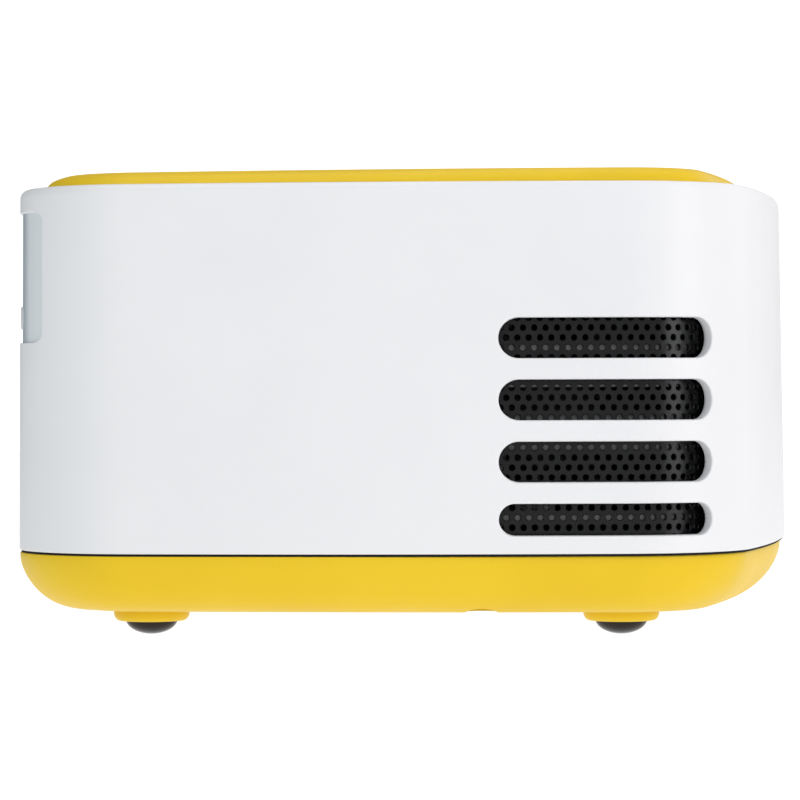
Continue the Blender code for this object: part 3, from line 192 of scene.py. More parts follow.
finishes = {
    "white_plastic": mouldedPlastic("whiteShellPlastic", (0.776, 0.773, 0.788), (0.798, 0.794, 0.808),
                                    (0.38, 0.46)),
    "yellow_plastic": mouldedPlastic("yellowCasePlastic", (0.774, 0.514, 0.015), (0.808, 0.545, 0.020),
                                     (0.40, 0.48), specular=0.17),
    "black_plastic": mouldedPlastic("blackInnerPlastic", (0.013, 0.013, 0.014), (0.019, 0.019, 0.020),
                                    (0.42, 0.58)),
    "grey_plastic": mouldedPlastic("greyRibPlastic", (0.105, 0.108, 0.112), (0.135, 0.138, 0.142), (0.45, 0.60)),
    "soft_rubber": mouldedPlastic("footRubber", (0.012, 0.008, 0.005), (0.016, 0.011, 0.007), (0.10, 0.16),
                                  0.0004, 0.000004, 0.25),
    "paper_cone": mouldedPlastic("speakerPaper", (0.020, 0.020, 0.020), (0.045, 0.043, 0.040), (0.7, 0.9),
                                 0.0003, 0.00004),
    "bare_aluminium": brushedMetal("sinkAluminium", (0.62, 0.62, 0.64), (0.74, 0.74, 0.76), (0.28, 0.42),
                                   (1, 1, 12)),
    "plated_steel": brushedMetal("socketSteel", (0.56, 0.56, 0.57), (0.66, 0.66, 0.67), (0.18, 0.32), (1, 10, 1)),
    "turned_brass": brushedMetal("insertBrass", (0.62, 0.42, 0.16), (0.74, 0.53, 0.24), (0.2, 0.34), (1, 1, 16)),
    "silver_mirror": brushedMetal("mirrorSilver", (0.90, 0.90, 0.91), (0.95, 0.95, 0.95), (0.02, 0.05), (1, 1, 1),
                                  0.004, 0.0000005),
    # near black paint with a dim gloss
    "black_steel": mouldedPlastic("ventSheetPaint", (0.0035, 0.0037, 0.0040), (0.0052, 0.0055, 0.0060),
                                  (0.19, 0.27), 0.00014, 0.000008, 0.27, 0.012, 0.004, 0.4),
    "optical_glass": coatedGlass("lensGlass", (0.93, 0.95, 0.97), (0.72, 0.60, 1.0)),
    "board_laminate": greenLaminate(),
    "ribbon_film": stripedFilm(),
    "led_phosphor": mouldedPlastic("lampPhosphor", (0.78, 0.66, 0.10), (0.86, 0.76, 0.18), (0.4, 0.6), 0.0002),
}
goldContacts = brushedMetal("contactGold", (0.78, 0.56, 0.22), (0.88, 0.66, 0.30), (0.18, 0.28), (1, 1, 6))
# rear field paint with painted shade towards the rear face
fieldPaintedShade = portPanelPaintedShade()
sealRubber = mouldedPlastic("sealRubber", (0.004, 0.006, 0.010), (0.007, 0.009, 0.014), (0.7, 0.9), specular=0.2)
ribPlastic = mouldedPlastic("ribPlastic", (0.225, 0.226, 0.220), (0.245, 0.246, 0.240), (0.45, 0.60))
# near black for the insides of shell and tray: painted shade that darkens what is seen through the openings
innerPaintedShade = mouldedPlastic("innerPaintedShade", (0.012, 0.012, 0.012), (0.018, 0.018, 0.018), (0.6, 0.8))
markPaint = mouldedPlastic("keyMarkPaint", (0.14, 0.15, 0.16), (0.18, 0.19, 0.20), (0.45, 0.6))
windowPlastic = mouldedPlastic("receiverPlastic", (0.60, 0.62, 0.64), (0.66, 0.68, 0.70), (0.30, 0.38))
lampPlastic = mouldedPlastic("lampPlastic", (0.55, 0.60, 0.66), (0.66, 0.70, 0.76), (0.15, 0.25))
print("materials made")


# Mesh making
def axisPoint(axis, along, first, second):
    return {"X": Vector((along, first, second)), "Y": Vector((first, along, second)),
            "Z": Vector((first, second, along))}[axis]


def addLoft(shape, rings, closed=False, finish=0):
    rows = [[shape.verts.new(point) for point in ring] for ring in rings]
    pairs = list(zip(rows, rows[1:])) + ([(rows[-1], rows[0])] if closed else [])
    made = []
    for lower, upper in pairs:
        for index in range(len(lower)):
            after = (index + 1) % len(lower)
            made.append(shape.faces.new((lower[index], lower[after], upper[after], upper[index])))
    if not closed:
        made += [shape.faces.new(rows[0]), shape.faces.new(rows[-1])]
    for face in made:
        face.material_index = finish
    return made


def addTurned(shape, profile, axis, steps, center=(0, 0, 0), finish=0):
    # profile of (along, radius) turned about the axis, closed where it meets the axis
    middle = Vector(center)
    rings = []
    for along, radius in profile:
        outline = circle(radius, steps) if radius > 0 else [(0, 0)]
        rings.append([shape.verts.new(middle + axisPoint(axis, along, *place)) for place in outline])
    pairs = list(zip(rings, rings[1:]))
    if len(rings[0]) > 1 and len(rings[-1]) > 1:
        pairs.append((rings[-1], rings[0]))
    for lower, upper in pairs:
        for k in range(steps):
            after = (k + 1) % steps
            corners = [lower[k % len(lower)], lower[after % len(lower)],
                       upper[after % len(upper)], upper[k % len(upper)]]
            corners = list(dict.fromkeys(corners))
            if len(corners) > 2:
                shape.faces.new(corners).material_index = finish


def addPrism(shape, outline, axis, low, high, center=(0, 0, 0), finish=0):
    middle = Vector(center)
    ends = [[middle + axisPoint(axis, along, *place) for place in outline] for along in (low, high)]
    addLoft(shape, ends, False, finish)


def polar(radius, turn, middle=(0, 0)):
    return middle[0] + radius * math.cos(turn), middle[1] + radius * math.sin(turn)


def circle(radius, steps, middle=(0, 0)):
    return [polar(radius, math.tau * k / steps, middle) for k in range(steps)]


def rectangle(width, height, middle=(0, 0)):
    return [(middle[0] + across * width / 2, middle[1] + up * height / 2)
            for across, up in ((-1, -1), (1, -1), (1, 1), (-1, 1))]


def roundedRectangle(width, height, radius, middle=(0, 0), steps=6):
    points = []
    for side, level, quarter in ((1, 1, 0), (-1, 1, 1), (-1, -1, 2), (1, -1, 3)):
        center = (middle[0] + side * (width / 2 - radius), middle[1] + level * (height / 2 - radius))
        for step in range(steps + 1):
            points.append(polar(radius, (quarter + step / steps) * math.pi / 2, center))
    return points


def meshOf(shape, name, materials=()):
    bmesh.ops.remove_doubles(shape, verts=shape.verts, dist=weld)
    bmesh.ops.recalc_face_normals(shape, faces=shape.faces)
    mesh = bpy.data.meshes.new(name)
    shape.to_mesh(mesh)
    shape.free()
    for material in materials:
        mesh.materials.append(material)
    return mesh


def meshBy(build, name, *given, material=None, **more):
    # a mesh that one call of a builder makes
    shape = bmesh.new()
    build(shape, *given, **more)
    return meshOf(shape, name, (material,) if material else ())


def newPiece(name, mesh):
    piece = bpy.data.objects.new(name, mesh)
    bpy.context.scene.collection.objects.link(piece)
    return piece


def appliedMesh(piece, name):
    # the piece with its modifiers worked in, as a plain mesh
    bpy.context.view_layer.update()
    result = bpy.data.meshes.new_from_object(piece.evaluated_get(bpy.context.evaluated_depsgraph_get()))
    result.name = name
    bpy.data.objects.remove(piece)
    return result


def carved(name, mesh, steps):
    # joins and cuts in turn; a cut made with a mesh that has a material leaves that material
    body = newPiece(name, mesh)
    tools = []
    for operation, toolMesh in steps:
        tool = newPiece(f"{name}Tool{len(tools)}", toolMesh)
        tools.append(tool)
        cutStep = body.modifiers.new(tool.name, "BOOLEAN")
        cutStep.solver = "EXACT"
        cutStep.operation = operation
        cutStep.material_mode = "TRANSFER" if toolMesh.materials else "INDEX"
        cutStep.object = tool
    result = appliedMesh(body, name)
    for tool in tools:
        bpy.data.objects.remove(tool)
    return result


def smoothed(mesh, name):
    # even shading: big faces lead, small rounds follow, hard edges stay
    mesh.shade_smooth()
    mesh.set_sharp_from_angle(angle=sharpEdge)
    body = newPiece(name, mesh)
    even = body.modifiers.new("evenShading", "WEIGHTED_NORMAL")
    even.keep_sharp = True
    even.weight = 100
    return appliedMesh(body, name)


def keepPiece(name, mesh, slot, body, *replaced):
    piece = newPiece(name, mesh)
    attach(piece, body)
    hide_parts(*replaced)


def finished(name, mesh, slot, *replaced, body="base"):
    # the piece as it is kept: shaded, riding on its body, with its slot's finish where the mesh has none
    if not mesh.materials:
        mesh.materials.append(finishes[slot])
    keepPiece(name, smoothed(mesh, name), slot, body, *replaced)


def roundSteps(radius, steps):
    # quarter round as (grow, depth): along the face first, then straight in
    turns = [math.pi / 2 * step / steps for step in range(steps + 1)]
    return [(radius * (1 - math.sin(turn)), radius * (1 - math.cos(turn))) for turn in turns]


# Plan of the case: rear middle, rear corner, bowed side, front corner, bowed front
plan = {"sideBow": 0.0028, "frontBow": 0.0096, "frontOut": 0.0003, "rearCorner": 0.0146, "frontCorner": 0.0150,
        "blendStart": -0.58, "blendEnd": 0.70, "cornerSteps": 24, "sideSteps": 48, "frontSteps": 18}
sideRadius = (halfDepth ** 2 + plan["sideBow"] ** 2) / (2 * plan["sideBow"])
frontRadius = (halfLength ** 2 + plan["frontBow"] ** 2) / (2 * plan["frontBow"])


def filletCenter(radius, otherCenter, otherRadius, sideCenter):
    apart = otherCenter - sideCenter
    fromSide, fromOther = sideRadius - radius, otherRadius - radius
    along = (fromSide ** 2 - fromOther ** 2 + apart.length ** 2) / (2 * apart.length)
    aside = math.sqrt(fromSide ** 2 - along ** 2)
    unit = apart.normalized()
    return sideCenter + unit * along + Vector((-unit.y, unit.x)) * aside


def nearArcs():
    rearCorner, frontCorner = plan["rearCorner"], plan["frontCorner"]
    sideCenter = Vector((0, sideRadius - halfLength))
    frontCenter = Vector((halfDepth + plan["frontOut"] - frontRadius, 0))
    rearX = rearCorner - halfDepth
    rearCenter = Vector((rearX, sideCenter.y - math.sqrt((sideRadius - rearCorner) ** 2 - rearX ** 2)))
    cornerCenter = filletCenter(frontCorner, frontCenter, frontRadius, sideCenter)
    toRear, toSide, toFront = rearCenter - sideCenter, cornerCenter - sideCenter, cornerCenter - frontCenter
    rearAngle, sideAngle, frontAngle = (math.atan2(way.y, way.x) for way in (toRear, toSide, toFront))
    return ((rearCenter, rearCorner, -math.pi, rearAngle, plan["cornerSteps"]),
            (sideCenter, sideRadius, rearAngle, sideAngle, plan["sideSteps"]),
            (cornerCenter, frontCorner, sideAngle, frontAngle, plan["cornerSteps"]),
            (frontCenter, frontRadius, frontAngle, 0.0, plan["frontSteps"]))


arcs = nearArcs()
rearRun = -arcs[0][0].y
arcLengths = [radius * (last - first) for center, radius, first, last, steps in arcs]
sideMiddleRun = rearRun + arcLengths[0] + sideRadius * (-math.pi / 2 - arcs[1][2])


def wallPoint(run, inset):
    # run goes along the outer wall from the middle of the rear; below zero it goes the other way
    reach = abs(run)
    side = -1 if run < 0 else 1
    if reach <= rearRun:
        return Vector((inset - halfDepth, -reach * side))
    left = reach - rearRun
    for (center, radius, first, last, steps), length in zip(arcs, arcLengths):
        if left <= length or radius == frontRadius:
            angle = first + left / radius
            point = center + (radius - inset) * Vector((math.cos(angle), math.sin(angle)))
            return Vector((point.x, point.y * side))
        left -= length


def frontBlend(x):
    low, high = plan["blendStart"] * halfDepth, plan["blendEnd"] * halfDepth
    share = min(max((x - low) / (high - low), 0), 1)
    return share * share * (3 - 2 * share)


def planRing(z, rearInset, frontInset=None):
    frontInset = rearInset if frontInset is None else frontInset
    near = []
    for index, (center, radius, first, last, steps) in enumerate(arcs):
        for step in range(1 if index else 0, steps + 1):
            angle = first + (last - first) * step / steps
            way = Vector((math.cos(angle), math.sin(angle)))
            share = frontBlend((center + radius * way).x)
            near.append(center + (radius - rearInset - (frontInset - rearInset) * share) * way)
    far = [Vector((point.x, -point.y)) for point in reversed(near[:-1])]
    return [Vector((point.x, point.y, z)) for point in near + far]


# White shell
case = {"wall": 0.0020, "draftRear": 0.00022, "draft": 0.00058, "rimRear": 0.0010, "rimFront": 0.0004,
        "rimSteps": 7, "lowRound": 0.00016,
        "lap": 0.0010, "lapDepth": 0.0009, "pocketRear": 0.00275, "pocketFront": 0.00410, "pocketDepth": 0.0010,
        "pocketRound": 0.00014, "deckInset": 0.0075, "deckThickness": 0.0015,
        "screwRear": (-0.0330, 0.0525), "screwMid": (0.0080, 0.0555), "columnRadius": 0.0027,
        "columnHeight": 0.0110, "columnRib": 0.0012, "pilotRadius": 0.00115}
slots = {"start": 0.0100, "length": 0.0240, "shorter": 0.00012, "lean": 0.15, "lip": 0.00118, "step": 0.0010,
         "topDrop": 0.0144, "bottomRise": 0.0019, "rib": 0.00225, "lastShare": 0.79, "count": 4,
         "edgeRound": 0.00020, "steps": 12}
recess = {"depth": 0.00030, "lowDrop": 0.01675, "highDrop": 0.00265, "round": 0.0009, "stretch": 2.4,
          "wrap": 0.01057, "edgeRound": 0.00010}
nub = {"start": 0.0008, "length": 0.0030, "middleZ": 0.03472, "height": 0.0025, "round": 0.0006,
       "below": 0.00011, "edgeRound": 0.00016}


def shellInset(x, z):
    # how far the draft has drawn the outer wall in at this height
    up = (z - lowZ) / (rimZ - case["rimRear"] - lowZ)
    return (case["draftRear"] + (case["draft"] - case["draftRear"]) * frontBlend(x)) * min(max(up, 0), 1)


def screwPlaces():
    for side in (-1, 1):
        for x, y in (case["screwRear"], case["screwMid"]):
            yield x, y * side


def columnRibs(shape, low, high):
    # each pillar is tied to the wall by a rib
    half = case["columnRib"] / 2
    for x, y in screwPlaces():
        if x > 0:
            center, radius = arcs[1][0], arcs[1][1] - case["wall"] / 2
            reach = math.copysign(math.sqrt(radius ** 2 - (x - center.x) ** 2) - center.y, y)
            outline = rectangle(2 * half, abs(reach - y), (x, (y + reach) / 2))
        else:
            center, radius = arcs[0][0], arcs[0][1] - case["wall"] / 2
            reach = center.x - math.sqrt(radius ** 2 - (abs(y) + center.y) ** 2)
            outline = rectangle(x - reach, 2 * half, ((x + reach) / 2, y))
        addPrism(shape, outline, "Z", low + over, high - over)


def shellLoft():
    wall, draft, low = case["wall"], case["draft"], case["lowRound"]
    rings = [planRing(lowZ + depth, grow) for grow, depth in roundSteps(low, 3)]
    for down, back in roundSteps(1, case["rimSteps"]):
        rings.append(planRing(rimZ - case["rimRear"] * down, case["draftRear"] + case["rimRear"] * back,
                              draft + case["rimFront"] * back))
    rear, front = case["pocketRear"], case["pocketFront"]
    rings += [planRing(rimZ - depth, rear - grow, front - grow)
              for grow, depth in roundSteps(case["pocketRound"], 3)]
    floorZ = rimZ - case["pocketDepth"]
    deckLow = floorZ - case["deckThickness"]
    lipZ = lowZ + case["lapDepth"]
    rings += [planRing(*level) for level in (
        (floorZ, rear, front), (floorZ, case["deckInset"]), (deckLow, case["deckInset"]),
        (deckLow, wall, wall + draft), (lipZ, wall), (lipZ, case["lap"]), (lowZ, case["lap"]))]
    shape = bmesh.new()
    faces = addLoft(shape, rings, closed=True)
    count = len(rings[0])
    # the two bands inside the case, under the deck and on the wall, get the near black painted shade
    for face in faces[-5 * count:-3 * count]:
        face.material_index = 1
    return meshOf(shape, "shellBody", (finishes["white_plastic"], innerPaintedShade))


def stadiumSpans(start, length, height, radius, grow, steps, straight, stretch=1.0):
    # (run, half height) along an opening with round ends, grown outwards by grow
    radius, start, length, height = radius + grow, start - grow, length + 2 * grow, height + 2 * grow
    reach = radius * stretch
    turns = [math.pi / 2 * step / steps for step in range(steps + 1)]
    spans = [(start + reach * (1 - math.cos(t)), height / 2 - radius + radius * math.sin(t)) for t in turns]
    for step in range(1, straight):
        spans.append((start + reach + (length - 2 * reach) * step / straight, height / 2))
    ends = [(2 * start + length - run, half) for run, half in reversed(spans[:steps + 1])]
    return spans + ends


def addWallShape(shape, spansOf, layers, middleZ, side=-1, floorFinish=0):
    # a form that follows the wall, by layers of (grow, depth below the face, how far its end is drawn on)
    rings = []
    for grow, deep, onward in layers:
        spans = spansOf(grow)
        first, last = spans[0][0], spans[-1][0]
        ring = []
        for run, offset in spans + [(run, -offset) for run, offset in reversed(spans)]:
            z = middleZ + offset
            run += onward * (run - first) / (last - first)
            point = wallPoint(run, shellInset(wallPoint(run, 0).x, z) + deep)
            ring.append(shape.verts.new((point.x, -point.y * side, z)))
        rings.append(ring)
    count = len(rings[0])
    for lower, upper in zip(rings, rings[1:]):
        for index in range(count):
            after = (index + 1) % count
            shape.faces.new((lower[index], lower[after], upper[after], upper[index]))
    for ring, finish in ((rings[0], 0), (rings[-1], floorFinish)):
        for index in range(count // 2 - 1):
            corners = (ring[index], ring[index + 1], ring[count - 2 - index], ring[count - 1 - index])
            shape.faces.new(corners).material_index = finish


def mouthLayers(edgeRound):
    # the rounded edge of an opening, from outside the wall inwards
    return [(edgeRound, -over, 0)] + [(grow, deep, 0) for grow, deep in roundSteps(edgeRound, 4)]


slotTop = rimZ - slots["topDrop"]
slotBottom = lowZ + slots["bottomRise"]
slotGaps = slots["count"] - 1
slotHeight = (slotTop - slotBottom - slotGaps * slots["rib"]) / (slotGaps + slots["lastShare"])


def slotPlace(index):
    height = slotHeight * (slots["lastShare"] if index == slotGaps else 1)
    return slotTop - index * (slotHeight + slots["rib"]) - height / 2, height


def sideOpenings():
    # each slot ends in a short face; behind it the wall is cut further back
    lip, depth = slots["lip"], case["wall"] + case["draft"] + over
    layers = mouthLayers(slots["edgeRound"]) + [(0, lip, slots["lean"] * lip), (0, lip, slots["step"]),
                                                (0, depth, slots["step"])]
    shape = bmesh.new()
    for side in (-1, 1):
        for index in range(slots["count"]):
            middleZ, height = slotPlace(index)

            def spans(grow, height=height, length=slots["length"] - index * slots["shorter"]):
                return stadiumSpans(sideMiddleRun + slots["start"], length, height, height / 2, grow,
                                    slots["steps"], 10)
            addWallShape(shape, spans, layers, middleZ, side)
    return meshOf(shape, "slotCutters")


def rearField():
    reach = rearRun + recess["wrap"]
    lowSide, highSide = rimZ - recess["lowDrop"], rimZ - recess["highDrop"]
    height = highSide - lowSide

    def spans(grow):
        return stadiumSpans(-reach, 2 * reach, height, recess["round"], grow, 8, 64, recess["stretch"])
    shape = bmesh.new()
    layers = mouthLayers(recess["edgeRound"]) + [(0, recess["depth"], 0)]
    addWallShape(shape, spans, layers, (lowSide + highSide) / 2, floorFinish=1)
    # the field's floor takes the paint with painted shade
    return meshOf(shape, "recessCutter", (finishes["white_plastic"], fieldPaintedShade))


def recessNub():
    # small raised pad on the field's floor, at the rear corner
    def spans(grow):
        return stadiumSpans(rearRun + nub["start"], nub["length"], nub["height"], nub["round"], grow, 4, 6)
    layers = [(-grow, nub["below"] + deep, 0) for grow, deep in roundSteps(nub["edgeRound"], 3)]
    layers.append((0, recess["depth"] + case["wall"] / 2, 0))
    return meshBy(addWallShape, "recessNub", spans, layers, nub["middleZ"], material=windowPlastic)


sockets = {"gap": 0.0003, "metal": 0.0004, "hdmi": (0.0150, 0.0056, 0.8, 1 / 3), "round": 0.0031,
           "contact": 0.00012, "jackRound": 0.0003, "sleeveStart": 0.0009, "sleeve": (0.00018, 0.00005)}


def hdmiOutline(gap, radius=0.0006):
    # wide top, cut back low corners, each corner softened
    width, height, narrowShare, bendShare = sockets["hdmi"]
    wide, narrow = width / 2 + gap, width / 2 * narrowShare + gap
    top, low = height / 2 + gap, -height / 2 - gap
    bend = low * bendShare
    corners = [Vector(c) for c in ((-narrow, low), (narrow, low), (wide, bend), (wide, top), (-wide, top),
                                   (-wide, bend))]
    points = []
    for index, corner in enumerate(corners):
        before = (corners[index - 1] - corner).normalized() * radius
        after = (corners[(index + 1) % 6] - corner).normalized() * radius
        for step in range(4):
            share = step / 3
            start, end = corner + before, corner + after
            points.append(tuple(start * (1 - share) ** 2 + corner * 2 * share * (1 - share) + end * share ** 2))
    return points


def boxOutline(node, gap, radius):
    low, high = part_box(node)
    return roundedRectangle(high.y - low.y + 2 * gap, high.z - low.z + 2 * gap, radius)


def middleOf(node):
    low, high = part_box(node)
    return (low + high) / 2


def socketHoles():
    gap = sockets["gap"]
    shape = bmesh.new()
    outlines = {"hdmi_port": hdmiOutline(gap), "usb_port": boxOutline("usb_port", gap, 0.0007),
                "card_slot": boxOutline("card_slot", gap, 0.0005), "av_jack": circle(sockets["round"] + gap, 48),
                "dc_jack": circle(sockets["round"] + gap, 48), "ir_window": boxOutline("ir_window", gap, 0.00110)}
    for node, outline in outlines.items():
        middle = middleOf(node)
        addPrism(shape, outline, "X", -halfDepth - over, -halfDepth + case["wall"] + over,
                 (0, middle.y, middle.z))
    return meshOf(shape, "socketHoles")


def shellParts():
    low, high = lowZ + 0.0002, lowZ + case["columnHeight"]
    columns, ribs, pilots = bmesh.new(), bmesh.new(), bmesh.new()
    for x, y in screwPlaces():
        addPrism(columns, circle(case["columnRadius"], 32), "Z", low, high, (x, y, 0))
        addPrism(pilots, circle(case["pilotRadius"], 24), "Z", lowZ - over, trayBottom + 0.0142, (x, y, 0))
    columnRibs(ribs, low, high)
    return meshOf(columns, "columns"), meshOf(ribs, "ribs"), meshOf(pilots, "pilots")


bezelLow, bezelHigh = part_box("lens_bezel")
bezelRadius = (bezelHigh.z - bezelLow.z) / 2
bezelPlay = 0.0003
windowMesh = meshBy(addPrism, "window", circle(bezelRadius + bezelPlay, 96), "X", bezelLow.x - bezelPlay,
                    halfDepth + over, (0, lensY, lensZ))
columnMesh, ribMesh, pilotMesh = shellParts()
shellMesh = carved("mainShell", shellLoft(), [
    ("UNION", columnMesh), ("UNION", ribMesh), ("DIFFERENCE", pilotMesh), ("DIFFERENCE", sideOpenings()),
    ("DIFFERENCE", rearField()), ("UNION", recessNub()), ("DIFFERENCE", socketHoles()),
    ("DIFFERENCE", windowMesh)])
finished("main_shell_looks", shellMesh, "white_plastic", "main_shell")
print("shell made")


# Geometry Nodes trees for what repeats
def newTree(name, *inputs):
    tree = bpy.data.node_groups.new(name, "GeometryNodeTree")
    for label, kind in (("Geometry", "Geometry"), *inputs):
        tree.interface.new_socket(label, in_out="INPUT", socket_type="NodeSocket" + kind)
    tree.interface.new_socket("Geometry", in_out="OUTPUT", socket_type="NodeSocketGeometry")
    return tree, addNode(tree, "NodeGroupInput").outputs


def endTree(tree, geometry, finish):
    # the last step paints what was made and hands it out
    painted = addNode(tree, "GeometryNodeSetMaterial", ("Geometry", geometry), ("Material", finish))
    addNode(tree, "NodeGroupOutput", ("Geometry", painted.outputs["Geometry"]))
    return tree


def addMath(tree, operation, first, second):
    return addNode(tree, "ShaderNodeMath", (0, first), (1, second), operation=operation).outputs[0]


def addCopies(tree, points, source, *inputs):
    # copies of an object on points, made real
    shape = addNode(tree, "GeometryNodeObjectInfo", ("Object", source)).outputs["Geometry"]
    copies = addNode(tree, "GeometryNodeInstanceOnPoints", ("Points", points), ("Instance", shape), *inputs)
    return addNode(tree, "GeometryNodeRealizeInstances", ("Geometry", copies.outputs[0])).outputs[0]


def repeatTree():
    # a shape on each point, each turned further about an axis
    tree, given = newTree("repeatAtPoints", ("Shape", "Object"), ("Finish", "Material"), ("Turn", "Float"),
                          ("Axis", "Vector"))
    angle = addMath(tree, "MULTIPLY", addNode(tree, "GeometryNodeInputIndex").outputs[0], given["Turn"])
    turn = addNode(tree, "ShaderNodeVectorMath", (0, given["Axis"]), ("Scale", angle), operation="SCALE")
    real = addCopies(tree, given["Geometry"], given["Shape"], ("Rotation", turn.outputs[0]))
    return endTree(tree, real, given["Finish"])


def perforationTree():
    # staggered rows of cells, joined edge to edge and given the sheet's thickness
    tree, given = newTree("perforatedSheet", ("Cell", "Object"), ("Columns", "Int"), ("Rows", "Int"),
                          ("Pitch", "Float"), ("Row Pitch", "Float"), ("Thickness", "Float"),
                          ("Finish", "Material"))
    width = addMath(tree, "MULTIPLY", addMath(tree, "SUBTRACT", given["Columns"], 1), given["Pitch"])
    height = addMath(tree, "MULTIPLY", addMath(tree, "SUBTRACT", given["Rows"], 1), given["Row Pitch"])
    grid = addNode(tree, "GeometryNodeMeshGrid", ("Size X", width), ("Size Y", height),
                   ("Vertices X", given["Columns"]), ("Vertices Y", given["Rows"]))
    row = addMath(tree, "MODULO", addNode(tree, "GeometryNodeInputIndex").outputs[0], given["Rows"])
    odd = addMath(tree, "MODULO", row, 2)
    shift = addMath(tree, "MULTIPLY", addMath(tree, "MULTIPLY", odd, given["Pitch"]), 0.5)
    aside = addNode(tree, "ShaderNodeCombineXYZ", ("X", shift))
    moved = addNode(tree, "GeometryNodeSetPosition", ("Geometry", grid.outputs["Mesh"]),
                    ("Offset", aside.outputs[0]))
    real = addCopies(tree, moved.outputs[0], given["Cell"])
    skin = addNode(tree, "GeometryNodeMergeByDistance", ("Geometry", real), ("Distance", cellWeld)).outputs[0]
    # an offset that isn't linked would follow the normals
    down = addNode(tree, "FunctionNodeInputVector", vector=(0, 0, -1))
    thick = addNode(tree, "GeometryNodeExtrudeMesh", ("Mesh", skin), ("Offset", down.outputs[0]),
                    ("Offset Scale", given["Thickness"]), ("Individual", False))
    back = addNode(tree, "GeometryNodeFlipFaces", ("Mesh", thick.outputs["Mesh"])).outputs[0]
    both = addNode(tree, "GeometryNodeJoinGeometry", ("Geometry", skin), ("Geometry", back)).outputs[0]
    whole = addNode(tree, "GeometryNodeMergeByDistance", ("Geometry", both), ("Distance", cellWeld)).outputs[0]
    return endTree(tree, whole, given["Finish"])


def grownMesh(name, tree, values, base=None):
    # runs a tree once and keeps its result as a plain mesh
    carrier = newPiece(name + "Carrier", base or bpy.data.meshes.new(name + "Points"))
    step = carrier.modifiers.new(tree.name, "NODES")
    step.node_group = tree
    for socket in tree.interface.items_tree:
        if socket.in_out == "INPUT" and socket.name in values:
            step[socket.identifier] = values[socket.name]
    return appliedMesh(carrier, name)


def repeated(name, shapeMesh, places, finish, turn=0.0, axis=(0, 0, 0)):
    shape = newPiece(name + "Shape", shapeMesh)
    points = bpy.data.meshes.new(name + "Points")
    points.from_pydata([tuple(place) for place in places], [], [])
    values = {"Shape": shape, "Finish": finish, "Turn": turn, "Axis": axis}
    mesh = grownMesh(name, repeatAtPoints, values, points)
    bpy.data.objects.remove(shape)
    return mesh


def joinedMesh(name, meshes):
    # several meshes as one, each face keeping its material
    materials = []
    shape = bmesh.new()
    for mesh in meshes:
        first = len(shape.faces)
        shape.from_mesh(mesh)
        shape.faces.ensure_lookup_table()
        for face in shape.faces[first:]:
            material = mesh.materials[face.material_index]
            if material not in materials:
                materials.append(material)
            face.material_index = materials.index(material)
    result = bpy.data.meshes.new(name)
    shape.to_mesh(result)
    shape.free()
    for material in materials:
        result.materials.append(material)
    return result


repeatAtPoints = repeatTree()
perforatedSheet = perforationTree()

# Perforated sheets behind the slots
sheet = {"pitch": 0.0012055, "rowPitch": 0.0010615, "hole": 0.000321, "holeSides": 12, "chamfer": 0.00007,
         "chamferDepth": 0.00006, "thickness": 0.0004, "columns": 20, "rows": 23, "gap": 0.0002,
         "firstRun": 0.009535, "topRow": 0.034375}
sheetInset = case["wall"] + case["draft"] + sheet["gap"]


def sheetRun(along):
    # run on the outer wall of a point this far along the sheet's own, tighter curve
    straight = rearRun + arcLengths[0] + arcLengths[1] - sideMiddleRun
    sideShare, cornerShare = 1 - sheetInset / sideRadius, 1 - sheetInset / plan["frontCorner"]
    bent = max(along - straight * sideShare, 0)
    return sideMiddleRun + (along - bent) / sideShare + bent / cornerShare


def sheetCell():
    # one six-sided cell with its hole, its edge eased by the punch
    squeeze = sheet["rowPitch"] / (sheet["pitch"] * math.sqrt(3) / 2)
    count = sheet["holeSides"]
    shape = bmesh.new()
    rings = []
    for kind in ("rim", "ease", "hole"):
        ring = []
        for k in range(count):
            turn = math.tau * k / count
            if kind == "rim":
                across, up = polar(sheet["pitch"] / (2 if k % 2 == 0 else math.sqrt(3)), turn)
                place = (across, up * squeeze, 0)
            else:
                eased = kind == "ease"
                place = (*polar(sheet["hole"] + (sheet["chamfer"] if eased else 0), turn),
                         0 if eased else -sheet["chamferDepth"])
            ring.append(shape.verts.new(place))
        rings.append(ring)
    for outer, inner in zip(rings, rings[1:]):
        for k in range(count):
            after = (k + 1) % count
            shape.faces.new((outer[k], outer[after], inner[after], inner[k]))
    mesh = bpy.data.meshes.new("sheetCell")
    shape.to_mesh(mesh)
    shape.free()
    mesh.materials.append(finishes["black_steel"])
    return mesh


def ventSheets():
    cell = newPiece("sheetCellShape", sheetCell())
    flat = grownMesh("flatSheet", perforatedSheet, {
        "Cell": cell, "Columns": sheet["columns"], "Rows": sheet["rows"], "Pitch": sheet["pitch"],
        "Row Pitch": sheet["rowPitch"], "Thickness": sheet["thickness"], "Finish": finishes["black_steel"]})
    bpy.data.objects.remove(cell)
    middleX = sheet["firstRun"] + (sheet["columns"] - 1) * sheet["pitch"] / 2
    middleZ = sheet["topRow"] - (sheet["rows"] - 1) * sheet["rowPitch"] / 2
    for side, word in ((-1, "near"), (1, "far")):
        bent = flat.copy()
        for vertex in bent.vertices:
            spot = wallPoint(sheetRun(middleX + vertex.co.x), sheetInset - vertex.co.z)
            vertex.co = (spot.x, -spot.y * side, middleZ + vertex.co.y)
        shape = bmesh.new()
        shape.from_mesh(bent)
        bmesh.ops.recalc_face_normals(shape, faces=shape.faces)
        shape.to_mesh(bent)
        shape.free()
        bent.shade_smooth()
        bent.set_sharp_from_angle(angle=sharpEdge)
        keepPiece(f"perforated_sheet_{word}", bent, "black_steel", "base", f"vent_mesh_{word}")


ventSheets()
print("perforated sheets made")

# Ribbed frames that press the sheets against the wall
ribs = {"depth": 0.0014, "width": 0.0010, "end": 0.0012, "places": (0.0313, 0.0275, 0.0239, 0.0207, 0.0132),
        "stops": 18}


